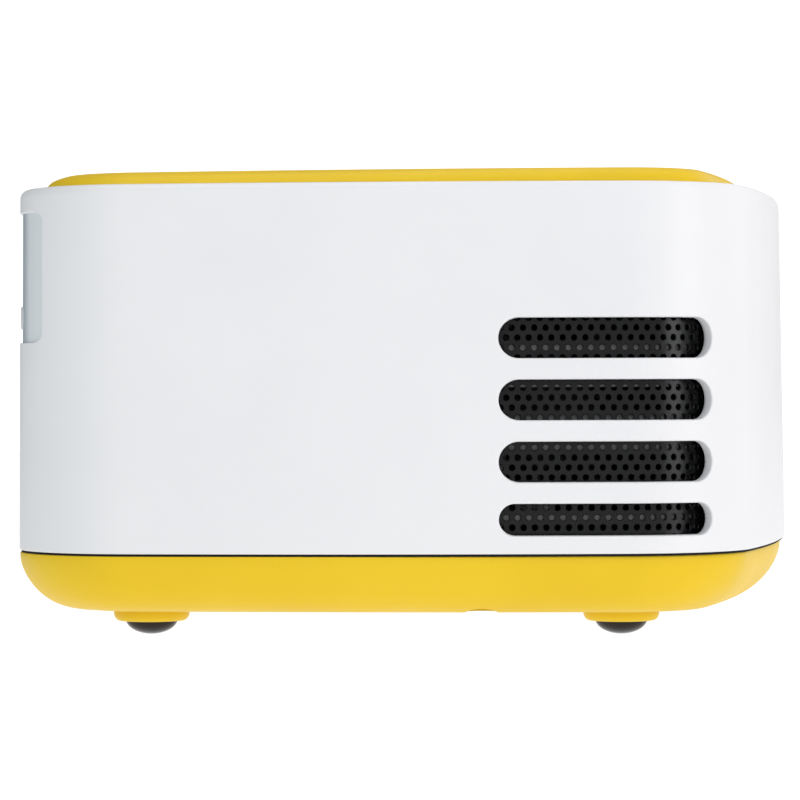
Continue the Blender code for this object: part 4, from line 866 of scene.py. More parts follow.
def addBand(shape, runs, low, high, outer, inner, side):
    # strip that follows the wall, between two heights and two insets
    rows = []
    for run in runs:
        out, back = wallPoint(run, outer), wallPoint(run, inner)
        rows.append([shape.verts.new((p.x, -p.y * side, z))
                     for p, z in ((out, high), (out, low), (back, low), (back, high))])
    for before, after in zip(rows, rows[1:]):
        for k in range(4):
            shape.faces.new((before[k], before[(k + 1) % 4], after[(k + 1) % 4], after[k]))
    shape.faces.new(rows[0])
    shape.faces.new(rows[-1])


def ventFrames():
    outer = sheetInset + sheet["thickness"] + sheet["gap"]
    inner = outer + ribs["depth"]
    for side, word in ((-1, "near"), (1, "far")):
        low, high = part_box(f"vent_frame_{word}")
        start = sideMiddleRun + slots["start"]
        end = start + slots["length"]
        reach, count = ribs["end"], ribs["stops"]
        runs = [start - reach + (end - start + 2 * reach) * k / count for k in range(count + 1)]
        clear = [start + (end - start) * k / count for k in range(count + 1)]
        body, bays = bmesh.new(), bmesh.new()
        addBand(body, runs, low.z, high.z, outer, inner, side)
        edges = [high.z - ribs["width"]]
        for place in ribs["places"]:
            edges += [place + ribs["width"] / 2, place - ribs["width"] / 2]
        edges.append(low.z + ribs["width"])
        for top, bottom in zip(edges[::2], edges[1::2]):
            addBand(bays, clear, bottom, top, outer - over, inner + over, side)
        mesh = carved(f"ventFrame{word}", meshOf(body, "frameBand", (ribPlastic,)),
                      [("DIFFERENCE", meshOf(bays, "frameBays"))])
        finished(f"ribbed_frame_{word}", mesh, "grey_plastic", f"vent_frame_{word}")


ventFrames()

# Yellow top plate with its holes
top = {"insetRear": 0.0029, "insetFront": 0.00425, "riseRear": 0.00145, "riseFront": 0.00177,
       "edgeRear": 0.0026, "edgeFront": 0.0014, "edgeUp": 0.00142,
       "bevel": ((0, 0), (0.15, 0.30), (0.3, 0.56), (0.45, 0.69), (0.6, 0.80), (0.85, 0.935), (0.97, 0.985),
                 (1.08, 1)),
       "seat": 0.0002, "holeGap": 0.00015, "holeRound": 0.00018, "wheelPlay": 0.0006, "wheelCorner": 0.0010,
       "wheelRound": 0.0003, "lightHole": 0.00095, "lightRound": 0.0001,
       "postRadius": 0.0020, "postSink": 0.0005, "postPlace": (-0.012, 0.0320)}
keyNames = ("ok_button", "up_button", "down_button", "left_button", "right_button", "power_button",
            "menu_button", "source_button")
keyFlange = 0.0008
ringLow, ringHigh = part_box("focus_ring")
ringRadius = (ringHigh.z - ringLow.z) / 2
plateFloor = rimZ - case["pocketDepth"] + top["seat"]


def plateTop(x):
    return rimZ + top["riseRear"] + (top["riseFront"] - top["riseRear"]) * (x + halfDepth) / (2 * halfDepth)


def addFlaredHole(shape, outlineOf, low, face, edgeRound):
    # hole through a face that looks up, its edge rounded
    layers = [(edgeRound, -over)] + roundSteps(edgeRound, 4)
    rings = [[Vector((x, y, face - deep)) for x, y in outlineOf(grow)] for grow, deep in layers]
    rings.append([Vector((x, y, low)) for x, y in outlineOf(0)])
    addLoft(shape, rings)


def topPlate():
    rear, front = top["insetRear"], top["insetFront"]
    rings = [planRing(plateFloor, rear, front), planRing(rimZ, rear, front)]
    for share, up in top["bevel"]:
        ring = planRing(0, rear + top["edgeRear"] * share, front + top["edgeFront"] * share)
        rings.append([Vector((p.x, p.y, plateTop(p.x) - top["edgeUp"] * (1 - up))) for p in ring])
    body, holes, posts = bmesh.new(), bmesh.new(), bmesh.new()
    addLoft(body, rings)
    low = plateFloor - over
    slotHalf = math.sqrt(ringRadius ** 2 - (plateFloor - lensZ) ** 2) + top["wheelPlay"]
    middle = ((ringLow.x + ringHigh.x) / 2, lensY)
    width, corner = ringHigh.x - ringLow.x + top["wheelPlay"], top["wheelCorner"]
    addFlaredHole(holes, lambda grow: roundedRectangle(width + 2 * grow, 2 * (slotHalf + grow), corner + grow,
                                                       middle), low, plateTop(middle[0]), top["wheelRound"])
    for node in keyNames:
        keyLow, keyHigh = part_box(node)
        x, y = (keyLow.x + keyHigh.x) / 2, (keyLow.y + keyHigh.y) / 2
        radius = (keyHigh.x - keyLow.x) / 2 - keyFlange + top["holeGap"]
        addFlaredHole(holes, lambda grow: circle(radius + grow, 64, (x, y)), low, plateTop(x), top["holeRound"])
    light = middleOf("status_light")
    addFlaredHole(holes, lambda grow: circle(top["lightHole"] + grow, 32, (light.x, light.y)), low,
                  plateTop(light.x), top["lightRound"])
    postX, postY = top["postPlace"]
    for side in (-1, 1):
        addPrism(posts, circle(top["postRadius"], 24), "Z", plateLow.z, plateFloor + top["postSink"],
                 (postX, side * postY, 0))
    mesh = carved("topPlate", meshOf(body, "plateBody"), [
        ("DIFFERENCE", meshOf(holes, "plateHoles")), ("UNION", meshOf(posts, "platePosts"))])
    finished("top_plate_looks", mesh, "yellow_plastic", "top_plate")


topPlate()
print("top plate made")

# Yellow tray
tray = {"taperRear": 0.00008, "taperFront": 0.00060, "roundRear": (0.00735, 0.00572, 1.521, 2.384),
        "roundFront": (0.00520, 0.00570, 1.759, 1.638), "steps": 20, "innerSteps": 8,
        "topRound": 0.00012, "bossRadius": 0.00416, "bossAcross": 0.0007, "bossUp": 0.0009, "bossLift": 0.00013,
        "padPocket": 0.0009,
        "counterbore": 0.0040, "counterReach": 0.00135, "headRadius": 0.0016, "insertBoss": 0.0066,
        "insertRound": 0.0003, "postRadius": 0.0024, "boardPostRadius": 0.0016, "enginePost": (0.0044, 0.0072),
        "speakerPost": 0.0005}
floorZ = trayBottom + case["wall"]
padNames = ("foot_pad_rear_near", "foot_pad_rear_far", "foot_pad_front_near", "foot_pad_front_far")
screwNames = ("case_screw_rear_near", "case_screw_front_near", "case_screw_rear_far", "case_screw_front_far")
padLow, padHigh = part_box(padNames[0])
padRadius = (padHigh.x - padLow.x) / 2
domeHeight = padHigh.z - tray["padPocket"] + tray["bossLift"]


def trayInset(z, taper, edge):
    # edge gives the round's reach and height, then how full it is low down and high up
    reach, height, lowPower, highPower = edge
    up = min(max((z - trayBottom) / height, 0), 1)
    return taper + reach * (1 - (1 - (1 - up) ** lowPower) ** (1 / highPower))


def trayRing(z, extra=0.0, at=None):
    level = z if at is None else at
    rear = trayInset(level, tray["taperRear"], tray["roundRear"])
    front = trayInset(level, tray["taperFront"], tray["roundFront"])
    return planRing(z, rear + extra, front + extra)


def longHole(radius, reach, steps=24):
    # circle drawn out along Y by reach
    turns = [math.pi * k / steps for k in range(steps + 1)]
    far = math.copysign(1, reach)
    outline = [(radius * math.cos(t), reach + far * radius * math.sin(t)) for t in turns]
    turns = turns if reach else turns[1:-1]
    return outline + [(-radius * math.cos(t), -far * radius * math.sin(t)) for t in turns]


def bottomTray():
    wall, lap = case["wall"], case["lap"]
    rings = [trayRing(trayBottom + tray["roundRear"][1] * up) for back, up in roundSteps(1, tray["steps"])]
    rings += [planRing(seamZ - depth, tray["taperRear"] + grow, tray["taperFront"] + grow)
              for grow, depth in reversed(roundSteps(tray["topRound"], 3))]
    stepZ = seamZ - case["lapDepth"]
    rings += [planRing(seamZ, lap), planRing(stepZ, lap), planRing(stepZ, wall, wall + tray["taperFront"])]
    for step in range(1, tray["innerSteps"] + 1):
        z = floorZ + (stepZ - floorZ) * (1 - step / tray["innerSteps"])
        rings.append(trayRing(z, wall, z - wall))
    body, joins, cuts, heads = bmesh.new(), bmesh.new(), bmesh.new(), bmesh.new()
    faces = addLoft(body, rings)
    count = len(rings[0])
    # the inside gets the near black painted shade
    for face in faces[-2 - tray["innerSteps"] * count:-2] + faces[-1:]:     # the inside
        face.material_index = 1
    bossRadius = tray["bossRadius"]
    for node in padNames:
        middle = middleOf(node)
        profile = [(floorZ - over, 0), (floorZ - over, bossRadius)]
        profile += [(domeHeight + tray["bossUp"] * up, bossRadius - tray["bossAcross"] * back)
                    for up, back in roundSteps(1, 8)]
        pocketTop = padHigh.z + fit
        profile += [(domeHeight, padRadius + fit), (pocketTop, padRadius + fit), (pocketTop, 0)]
        addTurned(joins, profile, "Z", 64, (middle.x, middle.y, 0))
    low = trayBottom + wall / 2
    for x, y in screwPlaces():
        addPrism(joins, circle(case["columnRadius"] + fit, 32), "Z", low, seamZ, (x, y, 0))
        # the middle ones run out towards the edge, as the driver's path does
        reach = tray["counterReach"] if x > 0 else 0
        addPrism(heads, longHole(tray["headRadius"] + fit, math.copysign(reach, y)), "Z", -over,
                 trayBottom + tray["counterbore"], (x, y, 0))
        addPrism(cuts, circle(case["pilotRadius"], 24), "Z", trayBottom + over, lowZ + over, (x, y, 0))
    addPrism(joins, circle(tray["insertBoss"], 48), "Z", low, insertHigh.z + wall)
    insertRadius = (insertHigh.x - insertLow.x) / 2 + fit
    profile = [(-over, 0), (-over, insertRadius + tray["insertRound"])]
    profile += [(trayBottom + deep, insertRadius + grow) for grow, deep in roundSteps(tray["insertRound"], 4)]
    addTurned(cuts, profile + [(insertHigh.z + fit, insertRadius), (insertHigh.z + fit, 0)], "Z", 64)
    posts = bmesh.new()
    for x, y, height, radius in trayPosts():
        addPrism(posts, circle(radius, 20), "Z", low, height, (x, y, 0))
    mesh = carved("bottomTray", meshOf(body, "trayBody", (finishes["yellow_plastic"], innerPaintedShade)), [
        ("UNION", meshOf(joins, "trayJoins")), ("UNION", meshOf(posts, "trayPosts")),
        ("DIFFERENCE", meshOf(heads, "headCuts")), ("DIFFERENCE", meshOf(cuts, "trayCuts"))])
    finished("bottom_tray_looks", mesh, "yellow_plastic", "bottom_tray")


def trayPosts():
    # posts under the engine, the board, the fan and the speaker
    engineLow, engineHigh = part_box("engine_box")
    boardLow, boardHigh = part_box("main_board")
    fanLow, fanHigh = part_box("fan_frame")
    speakerLow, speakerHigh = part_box("speaker_frame")
    inX, inY = tray["enginePost"]
    for x in (engineLow.x + inX, engineHigh.x - inX):
        for y in (engineLow.y + inY, engineHigh.y - inY):
            yield x, y, engineLow.z - fit, tray["postRadius"]
    fanMiddle = (fanLow + fanHigh) / 2
    for side in (-1, 1):
        yield boardLow.x, side * (boardHigh.y - boardLow.y) / 3, boardLow.z - fit, tray["boardPostRadius"]
        yield fanMiddle.x + side * (fanHigh.x - fanLow.x) / 3, fanMiddle.y, fanLow.z - fit, tray["postRadius"]
    speakerX, speakerY = (speakerLow.x + speakerHigh.x) / 2, speakerHigh.y - tray["speakerPost"]
    yield speakerX, speakerY, speakerLow.z - fit, tray["postRadius"]


bottomTray()
print("tray made")


# Dark strip in the seam
def seamStrip():
    # its lip lies in the gap between the shell and the tray
    low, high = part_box("seam_gasket")
    lip, outer, inner, clear = 0.00022, 0.0012, 0.00185, 0.00002
    levels = ((low.z, outer), (seamZ + clear, outer), (seamZ + clear, lip), (lowZ - clear, lip),
              (lowZ - clear, outer), (high.z, outer), (high.z, inner), (low.z, inner))
    mesh = meshBy(addLoft, "seamStrip", [planRing(*level) for level in levels], closed=True, material=sealRubber)
    finished("seam_strip", mesh, "soft_rubber", "seam_gasket")


seamStrip()

# Rubber feet, all four from one dome
feet = {"lipRadius": 0.00285, "lipGap": 0.00002, "fullness": 1.15, "domeSteps": 16, "turnSteps": 48}


def footDomes():
    # low half of a flattened ball, from a lip under the boss down to the floor
    lipZ = domeHeight - feet["lipGap"]
    middleZ = lipZ * feet["fullness"]
    first = math.acos(1 - lipZ / middleZ)
    wide = feet["lipRadius"] / math.sin(first)
    profile = [(padHigh.z, 0), (padHigh.z, padRadius), (lipZ, padRadius)]
    for step in range(feet["domeSteps"] + 1):
        turn = first * (1 - step / feet["domeSteps"])
        profile.append((middleZ * (1 - math.cos(turn)), wide * math.sin(turn)))
    rubber = finishes["soft_rubber"]
    dome = meshBy(addTurned, "footDome", profile, "Z", feet["turnSteps"], material=rubber)
    places = [(middleOf(node).x, middleOf(node).y, 0) for node in padNames]
    finished("foot_domes", repeated("footDomes", dome, places, rubber), "soft_rubber", *padNames)


footDomes()

# Case screws with a cross recess and a threaded shank
screw = {"shankRadius": 0.00095, "headHeight": 0.0016, "headRound": 0.0006, "headFlat": 0.6,
         "plainShank": 0.0008, "threadPitch": 0.0007, "threadDepth": 0.00016, "recessWidth": 0.00042, "recessReach": 0.00105,
         "recessDepth": 0.00075, "recessTaper": 0.6, "turnSteps": 32}


def caseScrews():
    low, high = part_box(screwNames[0])
    headRadius = (high.x - low.x) / 2
    headTop, shank = low.z + screw["headHeight"], screw["shankRadius"]
    flat = screw["headFlat"]
    profile = [(low.z, 0), (low.z, headRadius * flat)]
    for step in range(7):
        turn = math.pi / 2 * step / 6
        profile.append((low.z + screw["headRound"] * (1 - math.cos(turn)),
                        headRadius * (flat + (1 - flat) * math.sin(turn))))
    profile += [(headTop, headRadius), (headTop, shank)]
    z = headTop + screw["plainShank"]
    while z + screw["threadPitch"] < high.z - shank:
        profile += [(z, shank - screw["threadDepth"]), (z + screw["threadPitch"] / 2, shank)]
        z += screw["threadPitch"]
    profile += [(high.z - shank, shank - screw["threadDepth"]), (high.z, 0)]
    reach, half = screw["recessReach"], screw["recessWidth"] / 2
    outline = [(reach, -half), (reach, half), (half, half), (half, reach), (-half, reach), (-half, half),
               (-reach, half), (-reach, -half), (-half, -half), (-half, -reach), (half, -reach), (half, -half)]
    tip = [(x * screw["recessTaper"], y * screw["recessTaper"]) for x, y in outline]
    levels = ((low.z - over, outline), (low.z, outline), (low.z + screw["recessDepth"], tip))
    cross = meshBy(addLoft, "screwCross", [[Vector((x, y, z)) for x, y in points] for z, points in levels])
    body = meshBy(addTurned, "screwBody", profile, "Z", screw["turnSteps"])
    shape = carved("caseScrew", body, [("DIFFERENCE", cross)])
    shape.materials.append(finishes["plated_steel"])
    places = [(middleOf(node).x, middleOf(node).y, 0) for node in screwNames]
    mesh = repeated("caseScrews", shape, places, finishes["plated_steel"])
    finished("case_screws", mesh, "plated_steel", *screwNames)


caseScrews()

# Brass insert: knurled outside, a real thread inside
insert = {"minorRadius": 0.00305, "threadDepth": 0.00042, "pitch": 0.00127, "turnSteps": 64,
          "rowsPerPitch": 10, "edge": 0.0002,
          "knurlDepth": 0.00014}


def tripodInsert():
    low, high = insertLow.z, insertHigh.z
    outer = (insertHigh.x - insertLow.x) / 2
    steps, pitch = insert["turnSteps"], insert["pitch"]
    rows = int((high - low) / pitch * insert["rowsPerPitch"])
    rings = []
    for row in range(rows + 1):
        z = low + (high - low) * row / rows
        fade = min(row, rows - row, 4) / 4
        ring = []
        for k in range(steps):
            phase = (z / pitch - k / steps) % 1.0
            depth = insert["threadDepth"] * (1 - abs(2 * phase - 1)) if 0 < row < rows else insert["threadDepth"]
            radius = insert["minorRadius"] + depth * (fade if 0 < row < rows else 1)
            ring.append(Vector((*polar(radius, math.tau * k / steps), z)))
        rings.append(ring)
    edge = insert["edge"]
    for z, drop in ((high, edge), (high - edge, 0.0), (low + edge, 0.0), (low, edge)):
        ring = []
        for k in range(steps):
            radius = outer - drop - (insert["knurlDepth"] if k % 2 else 0)
            ring.append(Vector((*polar(radius, math.tau * k / steps), z)))
        rings.append(ring)
    mesh = meshBy(addLoft, "tripodInsert", rings, closed=True)
    finished("tripod_insert_looks", mesh, "turned_brass", "tripod_insert")


tripodInsert()
print("feet, screws and insert made")

# Lens group
optics = {"turnSteps": 96, "bezelMouth": 0.0164, "bezelSteps": 3, "barrelLip": 0.0010, "lensEdge": 0.0018,
          "lensRings": 14, "ringRibs": 72, "ringRibWidth": 0.00115, "ringRibDepth": 0.0005, "ringLip": 0.0008,
          "ringGroove": 0.0020, "ringEdge": 0.0004, "pinRadius": 0.0010, "play": 0.0003, "barrelWall": 0.0020,
          "barrelEdge": 0.0004, "barrelRound": 0.0003, "stepSlope": 0.0002, "stepRise": (0.00035, 0.00012)}
barrelLow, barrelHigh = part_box("lens_barrel")
barrelRadius = (barrelHigh.y - barrelLow.y) / 2
barrelBore = barrelRadius - optics["barrelWall"]
lensCenter = (0, lensY, lensZ)


def lensBezel():
    bore, mouth = barrelRadius + optics["play"], optics["bezelMouth"]
    mouthX = barrelHigh.x - over
    far = halfDepth + over
    profile = [(bezelLow.x, bore), (bezelLow.x, bezelRadius), (far, bezelRadius), (far, mouth + over)]
    # the funnel goes down in fine steps that break up stray light
    count, (upper, lower) = optics["bezelSteps"], optics["stepRise"]
    for step in range(count, 0, -1):
        x = mouthX + (far - over - mouthX) * step / (count + 1)
        radius = bore + (mouth - bore) * step / (count + 1)
        profile += [(x + optics["stepSlope"], radius + upper), (x, radius + lower)]
    profile.append((mouthX, bore))
    tube = meshBy(addTurned, "bezelTube", profile, "X", optics["turnSteps"], lensCenter)
    sunk = 0.0003     # how far the bezel stays behind the shell's face
    limit = meshBy(addLoft, "bezelLimit", [planRing(seamZ, sunk), planRing(rimZ, sunk, sunk + case["draft"])])
    mesh = carved("lensBezel", tube, [("INTERSECT", limit)])
    finished("lens_bezel_looks", mesh, "black_plastic", "lens_bezel")


def lensBarrel():
    rear, front, lip = barrelLow.x, barrelHigh.x, optics["barrelLip"]
    profile = [(rear, barrelBore), (rear, barrelRadius)]
    profile += [(front - down, barrelRadius - back) for down, back in roundSteps(optics["barrelRound"], 3)]
    edge = optics["barrelEdge"]
    profile += [(front, barrelBore - lip + edge), (front - edge, barrelBore - lip),
                (front - lip, barrelBore - lip), (front - lip, barrelBore)]
    tube = meshBy(addTurned, "barrelTube", profile, "X", optics["turnSteps"], lensCenter)
    pinX = ringLow.x + optics["ringLip"] + optics["play"] + optics["pinRadius"]
    pin = meshBy(addPrism, "barrelPin", circle(optics["pinRadius"], 24), "Z", barrelLow.z,
                 lensZ - (barrelRadius + barrelBore) / 2, (pinX, lensY, 0))
    mesh = carved("lensBarrel", tube, [("UNION", pin)])
    finished("lens_barrel_looks", mesh, "black_plastic", "lens_barrel", body="lens_carrier")


def lensGlass(node):
    low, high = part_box(node)
    radius = (high.y - low.y) / 2
    bulge = (high.x - low.x - optics["lensEdge"]) / 2
    profile = []
    for step in range(optics["lensRings"] + 1):
        out = radius * step / optics["lensRings"]
        profile.append((low.x + bulge * (out / radius) ** 2, out))
    profile += [(2 * ((low.x + high.x) / 2) - x, out) for x, out in reversed(profile)]
    mesh = meshBy(addTurned, node, profile, "X", optics["turnSteps"], lensCenter)
    finished(node + "_looks", mesh, "optical_glass", node, body="lens_carrier")


def focusRing():
    # turned body; the grip ribs are set round it by the repeat tree
    lowX, highX, depth = ringLow.x, ringHigh.x, optics["ringRibDepth"]
    radius, lip = ringRadius - depth, optics["ringLip"]
    bore = barrelRadius + optics["play"] + optics["barrelWall"] + optics["play"]
    groove = bore + optics["ringGroove"]
    ease = optics["ringEdge"]
    profile = [(lowX, bore), (lowX, radius - ease), (lowX + ease, radius), (highX - ease, radius),
               (highX, radius - ease), (highX, bore), (highX - lip, bore), (highX - lip, groove),
               (lowX + lip, groove), (lowX + lip, bore)]
    half = optics["ringRibWidth"] / 2
    ends = []
    for x, rise in ((lowX + 0.0005, 0.3), (lowX + 0.0008, 0.8), (lowX + 0.0012, 1.0), (highX - 0.0012, 1.0),
                    (highX - 0.0008, 0.8), (highX - 0.0005, 0.3)):
        ring = []
        for step in range(7):
            turn = math.pi * step / 6
            up = (depth + 0.0001) * rise * math.sin(turn)
            ring.append(Vector((x, half * math.cos(turn), radius - 0.0001 + up)))
        ring += [Vector((x, -half, radius - 0.0003)), Vector((x, half, radius - 0.0003))]
        ends.append(ring)
    grey, count = finishes["grey_plastic"], optics["ringRibs"]
    body = meshBy(addTurned, "ringBody", profile, "X", 2 * count, lensCenter, material=grey)
    grip = repeated("ringGrip", meshBy(addLoft, "ringRib", ends, material=grey), [lensCenter] * count, grey,
                    math.tau / count, (1, 0, 0))
    mesh = joinedMesh("focusRing", [body, grip])
    finished("focus_ring_looks", mesh, "grey_plastic", "focus_ring", body="focus_wheel")


lensBezel()
lensBarrel()
for lensNode in ("front_lens", "middle_lens", "rear_lens"):
    lensGlass(lensNode)
focusRing()
print("lens group made")


# Sockets in the rear field
def socketShell(node, outlineOf, tongue, contacts):
    # tongue: width, height, rise, how deep it starts; contacts: count, pitch, width, rise, how deep they start
    low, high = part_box(node)
    middle = (low + high) / 2
    metal = sockets["metal"]
    back = high.x - 2 * metal
    here = (0, middle.y, middle.z)
    steel = finishes["plated_steel"]
    body = meshBy(addPrism, node + "Body", outlineOf(0), "X", low.x, high.x, here, material=steel)
    rings = [[Vector((x, middle.y + a, middle.z + b)) for a, b in outlineOf(grow)]
             for x, grow in ((low.x - over, -metal * 0.4), (low.x, -metal * 0.4), (low.x + 0.0004, -metal),
                             (back, -metal))]
    parts = [carved(node, body, [("DIFFERENCE", meshBy(addLoft, node + "Mouth", rings))])]
    if tongue:
        width, height, rise, reach = tongue
        outline = roundedRectangle(width, height, height * 0.2, (0, rise), 3)
        parts.append(meshBy(addPrism, node + "Tongue", outline, "X", low.x + reach, back + metal / 2, here,
                            material=finishes["black_plastic"]))
    for count, pitch, width, rise, reach in contacts:
        bar = meshBy(addPrism, node + "Bar", rectangle(width, sockets["contact"]), "X", low.x + reach, back,
                     material=goldContacts)
        places = [(0, middle.y + (k - (count - 1) / 2) * pitch, middle.z + rise) for k in range(count)]
        parts.append(repeated(node + "Contacts", bar, places, goldContacts))
    finished(node + "_looks", joinedMesh(node, parts), "plated_steel", node)


def roundJack(node, boreRadius, pinRadius):
    low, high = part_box(node)
    middle = (low + high) / 2
    radius, back = (high.y - low.y) / 2, high.x - 2 * sockets["metal"]
    ease, here = sockets["jackRound"], (0, middle.y, middle.z)
    core = [(back, boreRadius), (low.x + ease, boreRadius), (low.x, boreRadius + ease), (low.x, radius - ease)]
    body = [(high.x, 0), (high.x, radius), (low.x + ease, radius)] + core[::-1] + [(back, 0)]
    start, (inward, outward) = low.x + sockets["sleeveStart"], sockets["sleeve"]
    inner, outer = boreRadius - inward, boreRadius + outward
    sleeve = [(start, inner), (start, outer), (back, outer), (back, inner)]
    forms = [("Body", body, 48, "black_plastic"), ("Sleeve", sleeve, 48, "plated_steel")]
    if pinRadius:
        tip, end = low.x + over, back + fit
        pin = [(tip, 0), (tip, pinRadius * 0.6), (tip + pinRadius * 0.5, pinRadius), (end, pinRadius), (end, 0)]
        forms.append(("Pin", pin, 32, "plated_steel"))
    parts = [meshBy(addTurned, node + word, profile, "X", steps, here, material=finishes[slot])
             for word, profile, steps, slot in forms]
    finished(node + "_looks", joinedMesh(node, parts), "black_plastic", node)


socketShell("hdmi_port", hdmiOutline, (0.0105, 0.0012, 0.0, 0.0010),
            ((10, 0.0010, 0.0004, 0.00062, 0.0013), (9, 0.0010, 0.0004, -0.00062, 0.0013)))
socketShell("usb_port", lambda grow: boxOutline("usb_port", grow, 0.0007 + grow / 2),
            (0.01144, 0.0017, 0.0010, 0.0009), ((4, 0.0025, 0.0011, 0.0001, 0.0016),))
socketShell("card_slot", lambda grow: boxOutline("card_slot", grow, 0.0005 + grow / 2), None,
            ((8, 0.0011, 0.0006, 0.00072, 0.0040),))
roundJack("av_jack", 0.00185, 0)
roundJack("dc_jack", 0.0023, 0.0007)


# Receiver window of the remote control
def receiverWindow():
    low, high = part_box("ir_window")
    middle = (low + high) / 2
    width, height = high.y - low.y, high.z - low.z
    rings = [[Vector((low.x + deep, middle.y + a, middle.z + b))
              for a, b in roundedRectangle(width - 2 * back, height - 2 * back, height / 3 - back)]
             for back, deep in roundSteps(0.00018, 4)]
    rings.append([Vector((high.x, p.y, p.z)) for p in rings[-1]])
    mesh = meshBy(addLoft, "receiverWindow", rings, material=windowPlastic)
    finished("receiver_window", mesh, "white_plastic", "ir_window")


receiverWindow()
print("sockets made")

# Keys with dished tops and plain sunk marks
keys = {"edgeRound": 0.0003, "dish": 0.00022, "markDepth": 0.00012, "turnSteps": 64, "flangeHeight": 0.00045,
        "arrow": 0.00105, "lines": (0.00028, 0.0024, 0.0008), "frame": ((0.0017, 0.0026), (0.0011, 0.0020)),
        "ring": (0.0011, 0.00078)}


def arrowMark(shape, way, size, low, high, here):
    # triangle that points away from the middle key
    aside = Vector((-way.y, way.x))
    outline = [way * size, -way * size * 0.6 + aside * size, -way * size * 0.6 - aside * size]
    addPrism(shape, [tuple(p) for p in outline], "Z", low, high, here)


def frameMark(shape, outer, inner, low, high, here):
    rings = []
    for outline, z in ((outer, low), (outer, high), (inner, high), (inner, low)):
        rings.append([Vector((x + here[0], y + here[1], z)) for x, y in outline])
    addLoft(shape, rings, closed=True)


def powerMark(shape, low, high, here):
    # broken ring and a bar in its gap
    outer, inner, half = 0.00150, 0.00118, 0.00017
    turns = [math.radians(40 + 280 * k / 28) for k in range(29)]
    outline = [polar(outer, t) for t in turns] + [polar(inner, t) for t in reversed(turns)]
    addPrism(shape, outline, "Z", low, high, here)
    addPrism(shape, rectangle(0.0013, 2 * half, (0.00125, 0)), "Z", low, high, here)


def keyMark(node, here, low, high):
    shape = bmesh.new()
    way = {"up_button": (1, 0), "down_button": (-1, 0), "left_button": (0, 1), "right_button": (0, -1)}.get(node)
    if way:
        arrowMark(shape, Vector(way), keys["arrow"], low, high, here)
    elif node == "power_button":
        powerMark(shape, low, high, here)
    elif node == "menu_button":
        width, length, pitch = keys["lines"]
        for place in (-1, 0, 1):
            addPrism(shape, rectangle(width, length, (place * pitch, 0)), "Z", low, high, here)
    elif node == "source_button":
        frameMark(shape, *(rectangle(*size) for size in keys["frame"]), low, high, here)
    else:
        frameMark(shape, *(circle(radius, 40) for radius in keys["ring"]), low, high, here)
    return meshOf(shape, node + "Mark", (markPaint,))


def makeKey(node):
    low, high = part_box(node)
    middle = (low + high) / 2
    wide = (high.x - low.x) / 2
    radius = wide - keyFlange
    face, ease, dish = high.z, keys["edgeRound"], keys["dish"]
    flangeTop = low.z + keys["flangeHeight"]
    profile = [(low.z, 0), (low.z, wide), (flangeTop, wide), (flangeTop, radius)]
    profile += [(face - down, radius - back) for down, back in roundSteps(ease, 6)]
    flat = radius - ease
    for step in range(1, 13):
        out = flat * (1 - step / 12)
        share = out / flat
        profile.append((face - dish * (1 - share ** 2) ** 2, max(out, 0)))
    here = (middle.x, middle.y, 0)
    cap = meshBy(addTurned, node, profile, "Z", keys["turnSteps"], here, material=finishes["white_plastic"])
    mark = keyMark(node, here, face - dish - keys["markDepth"], face + over)
    mesh = carved(node, cap, [("DIFFERENCE", mark)])
    body = next(name for name, members in frame["record"]["behaviour"]["bodies"].items() if node in members)
    finished(node + "_looks", mesh, "white_plastic", node, body=body)


for node in keyNames:
    makeKey(node)


def statusLamp():
    low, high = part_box("status_light")
    middle = (low + high) / 2
    radius = (high.x - low.x) / 2
    bulge, steps = 0.00015, 8
    profile = [(low.z, 0), (low.z, radius)]
    for step in range(steps):
        turn = math.pi / 2 * step / steps
        profile.append((high.z - bulge * (1 - math.sin(turn)), radius * math.cos(turn)))
    profile.append((high.z, 0))
    mesh = meshBy(addTurned, "statusLamp", profile, "Z", 32, (middle.x, middle.y, 0), material=lampPlastic)
    finished("status_lamp", mesh, "optical_glass", "status_light")


statusLamp()
print("keys made")

# Finishes of the nodes that are kept
for row in frame["record"]["subparts"]:
    node = nodes[row["node"]]
    node.data.materials.clear()
    node.data.materials.append(finishes[row["material_slot"]])
print("node finishes set")

# Floor, light and camera
studio = {"floorRadius": 1.1, "floorColor": (0.12, 0.12, 0.12), "floorGlow": 1.0, "ambient": 0.43,
          "softboxes": (
              # name, place, size, watts, colour
              ("frontFill", (0.35, -1.55, 0.75), (1.6, 1.2), 5.9, (1.0, 1.0, 1.0)),
              ("rightTall", (0.945, -0.565, 0.30), (0.33, 0.90), 4.1, (0.96, 0.965, 0.99)),
              ("leftCool", (-0.95, -0.60, 0.30), (0.50, 0.90), 0.95, (0.42, 0.92, 1.0)),
              ("topWide", (0.05, 0.05, 1.10), (1.2, 1.2), 5.9, (1.0, 1.0, 1.0)),
              ("rearFill", (0.9, 1.05, 0.45), (1.2, 0.9), 2.4, (1.0, 1.0, 1.0))),
          "shade": {"way": (-0.62, 0.78, 0.0), "from": 0.1, "to": 0.9, "least": 0.10}}
view = {"place": (0.0174, -0.4426, 0.0271), "yaw": 2.68, "pitch": -0.213, "roll": -0.0035, "focalPixels": 3609.0}


def paleFloor():
    made, tree, shader = newMaterial("paleFloor", ("Roughness", 0.9), ("Specular IOR Level", 0.0),
                                     ("Emission Color", (1, 1, 1, 1)), ("Emission Strength", studio["floorGlow"]))
    color = studio["floorColor"]
    tint(tree, shader, noiseFrom(tree, 0.4, 2), color, tuple(c * 1.01 for c in color))
    mesh = bpy.data.meshes.new("studioFloor")
    mesh.from_pydata([(x, y, 0) for x, y in circle(studio["floorRadius"], 96)], [], [list(range(96))])
    mesh.materials.append(made)
    newPiece("studio_floor", mesh)


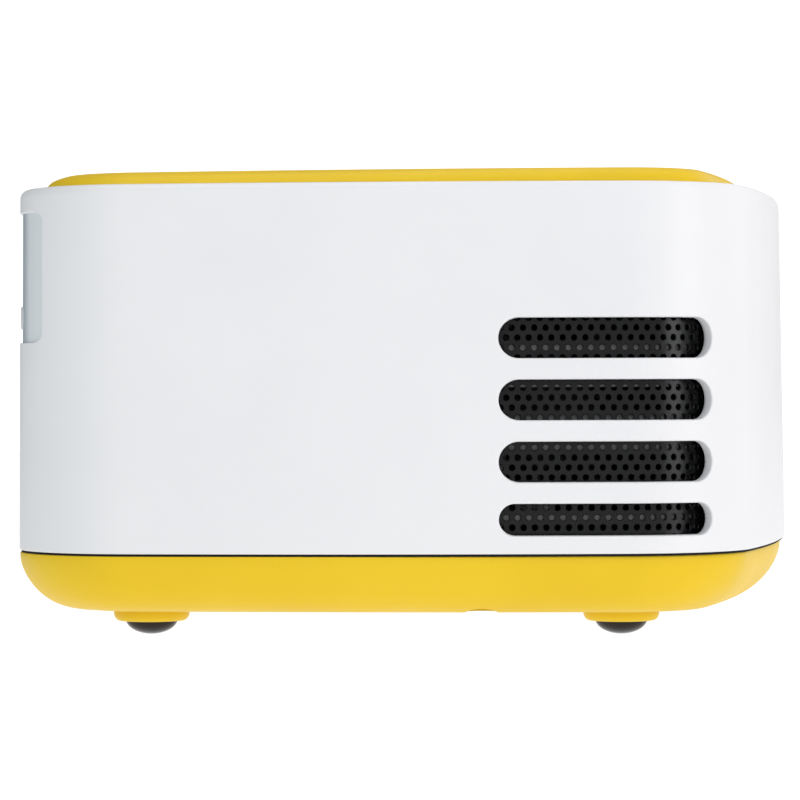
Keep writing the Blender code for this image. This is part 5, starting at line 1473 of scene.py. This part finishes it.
def studioLight():
    scene = bpy.context.scene
    scene.view_settings.view_transform = "Standard"
    world = bpy.data.worlds.new("studioWorld")
    scene.world = world
    world.use_nodes = True
    tree = world.node_tree
    tree.nodes.clear()
    # the room is darker behind and to the left
    shade = studio["shade"]
    way = addNode(tree, "ShaderNodeTexCoord").outputs["Generated"]
    aim = addNode(tree, "ShaderNodeVectorMath", (0, way), (1, shade["way"]), operation="DOT_PRODUCT")
    fall = addNode(tree, "ShaderNodeMapRange", ("Value", aim.outputs["Value"]), ("From Min", shade["from"]),
                   ("From Max", shade["to"]), ("To Min", studio["ambient"]), ("To Max", shade["least"]))
    given = addNode(tree, "ShaderNodeBackground", ("Color", (0.985, 0.992, 1.0, 1)),
                    ("Strength", fall.outputs["Result"]))
    seen = addNode(tree, "ShaderNodeBackground", ("Color", (1, 1, 1, 1)), ("Strength", 1.2))
    ray = addNode(tree, "ShaderNodeLightPath").outputs["Is Camera Ray"]
    mix = addNode(tree, "ShaderNodeMixShader", ("Fac", ray), (1, given.outputs[0]), (2, seen.outputs[0]))
    addNode(tree, "ShaderNodeOutputWorld", ("Surface", mix.outputs[0]))
    target = Vector((0, 0, 0.026))
    for name, place, size, watts, color in studio["softboxes"]:
        lamp = bpy.data.lights.new(name, "AREA")
        lamp.shape = "RECTANGLE"
        lamp.size, lamp.size_y = size
        lamp.energy = watts
        lamp.color = color
        box = newPiece(name, lamp)
        box.location = place
        box.rotation_euler = (target - Vector(place)).to_track_quat("-Z", "Y").to_euler()
        box.visible_camera = False


def photoCamera():
    yaw, pitch, roll = math.radians(view["yaw"]), math.radians(view["pitch"]), view["roll"]
    forward = Vector((-math.sin(yaw) * math.cos(pitch), math.cos(yaw) * math.cos(pitch), math.sin(pitch)))
    level = forward.cross(Vector((0, 0, 1))).normalized()
    upright = level.cross(forward)
    right = level * math.cos(roll) + upright * math.sin(roll)
    up = upright * math.cos(roll) - level * math.sin(roll)
    data = bpy.data.cameras.new("photoCamera")
    data.sensor_width = 36
    data.lens = view["focalPixels"] / 800 * 36
    data.clip_start, data.clip_end = 0.01, 50
    camera = newPiece("photo_camera", data)
    turned = Matrix((right, up, -forward)).transposed().to_4x4()
    turned.translation = Vector(view["place"])
    camera.matrix_world = turned
    bpy.context.scene.camera = camera


paleFloor()
studioLight()
photoCamera()
print("stage made")
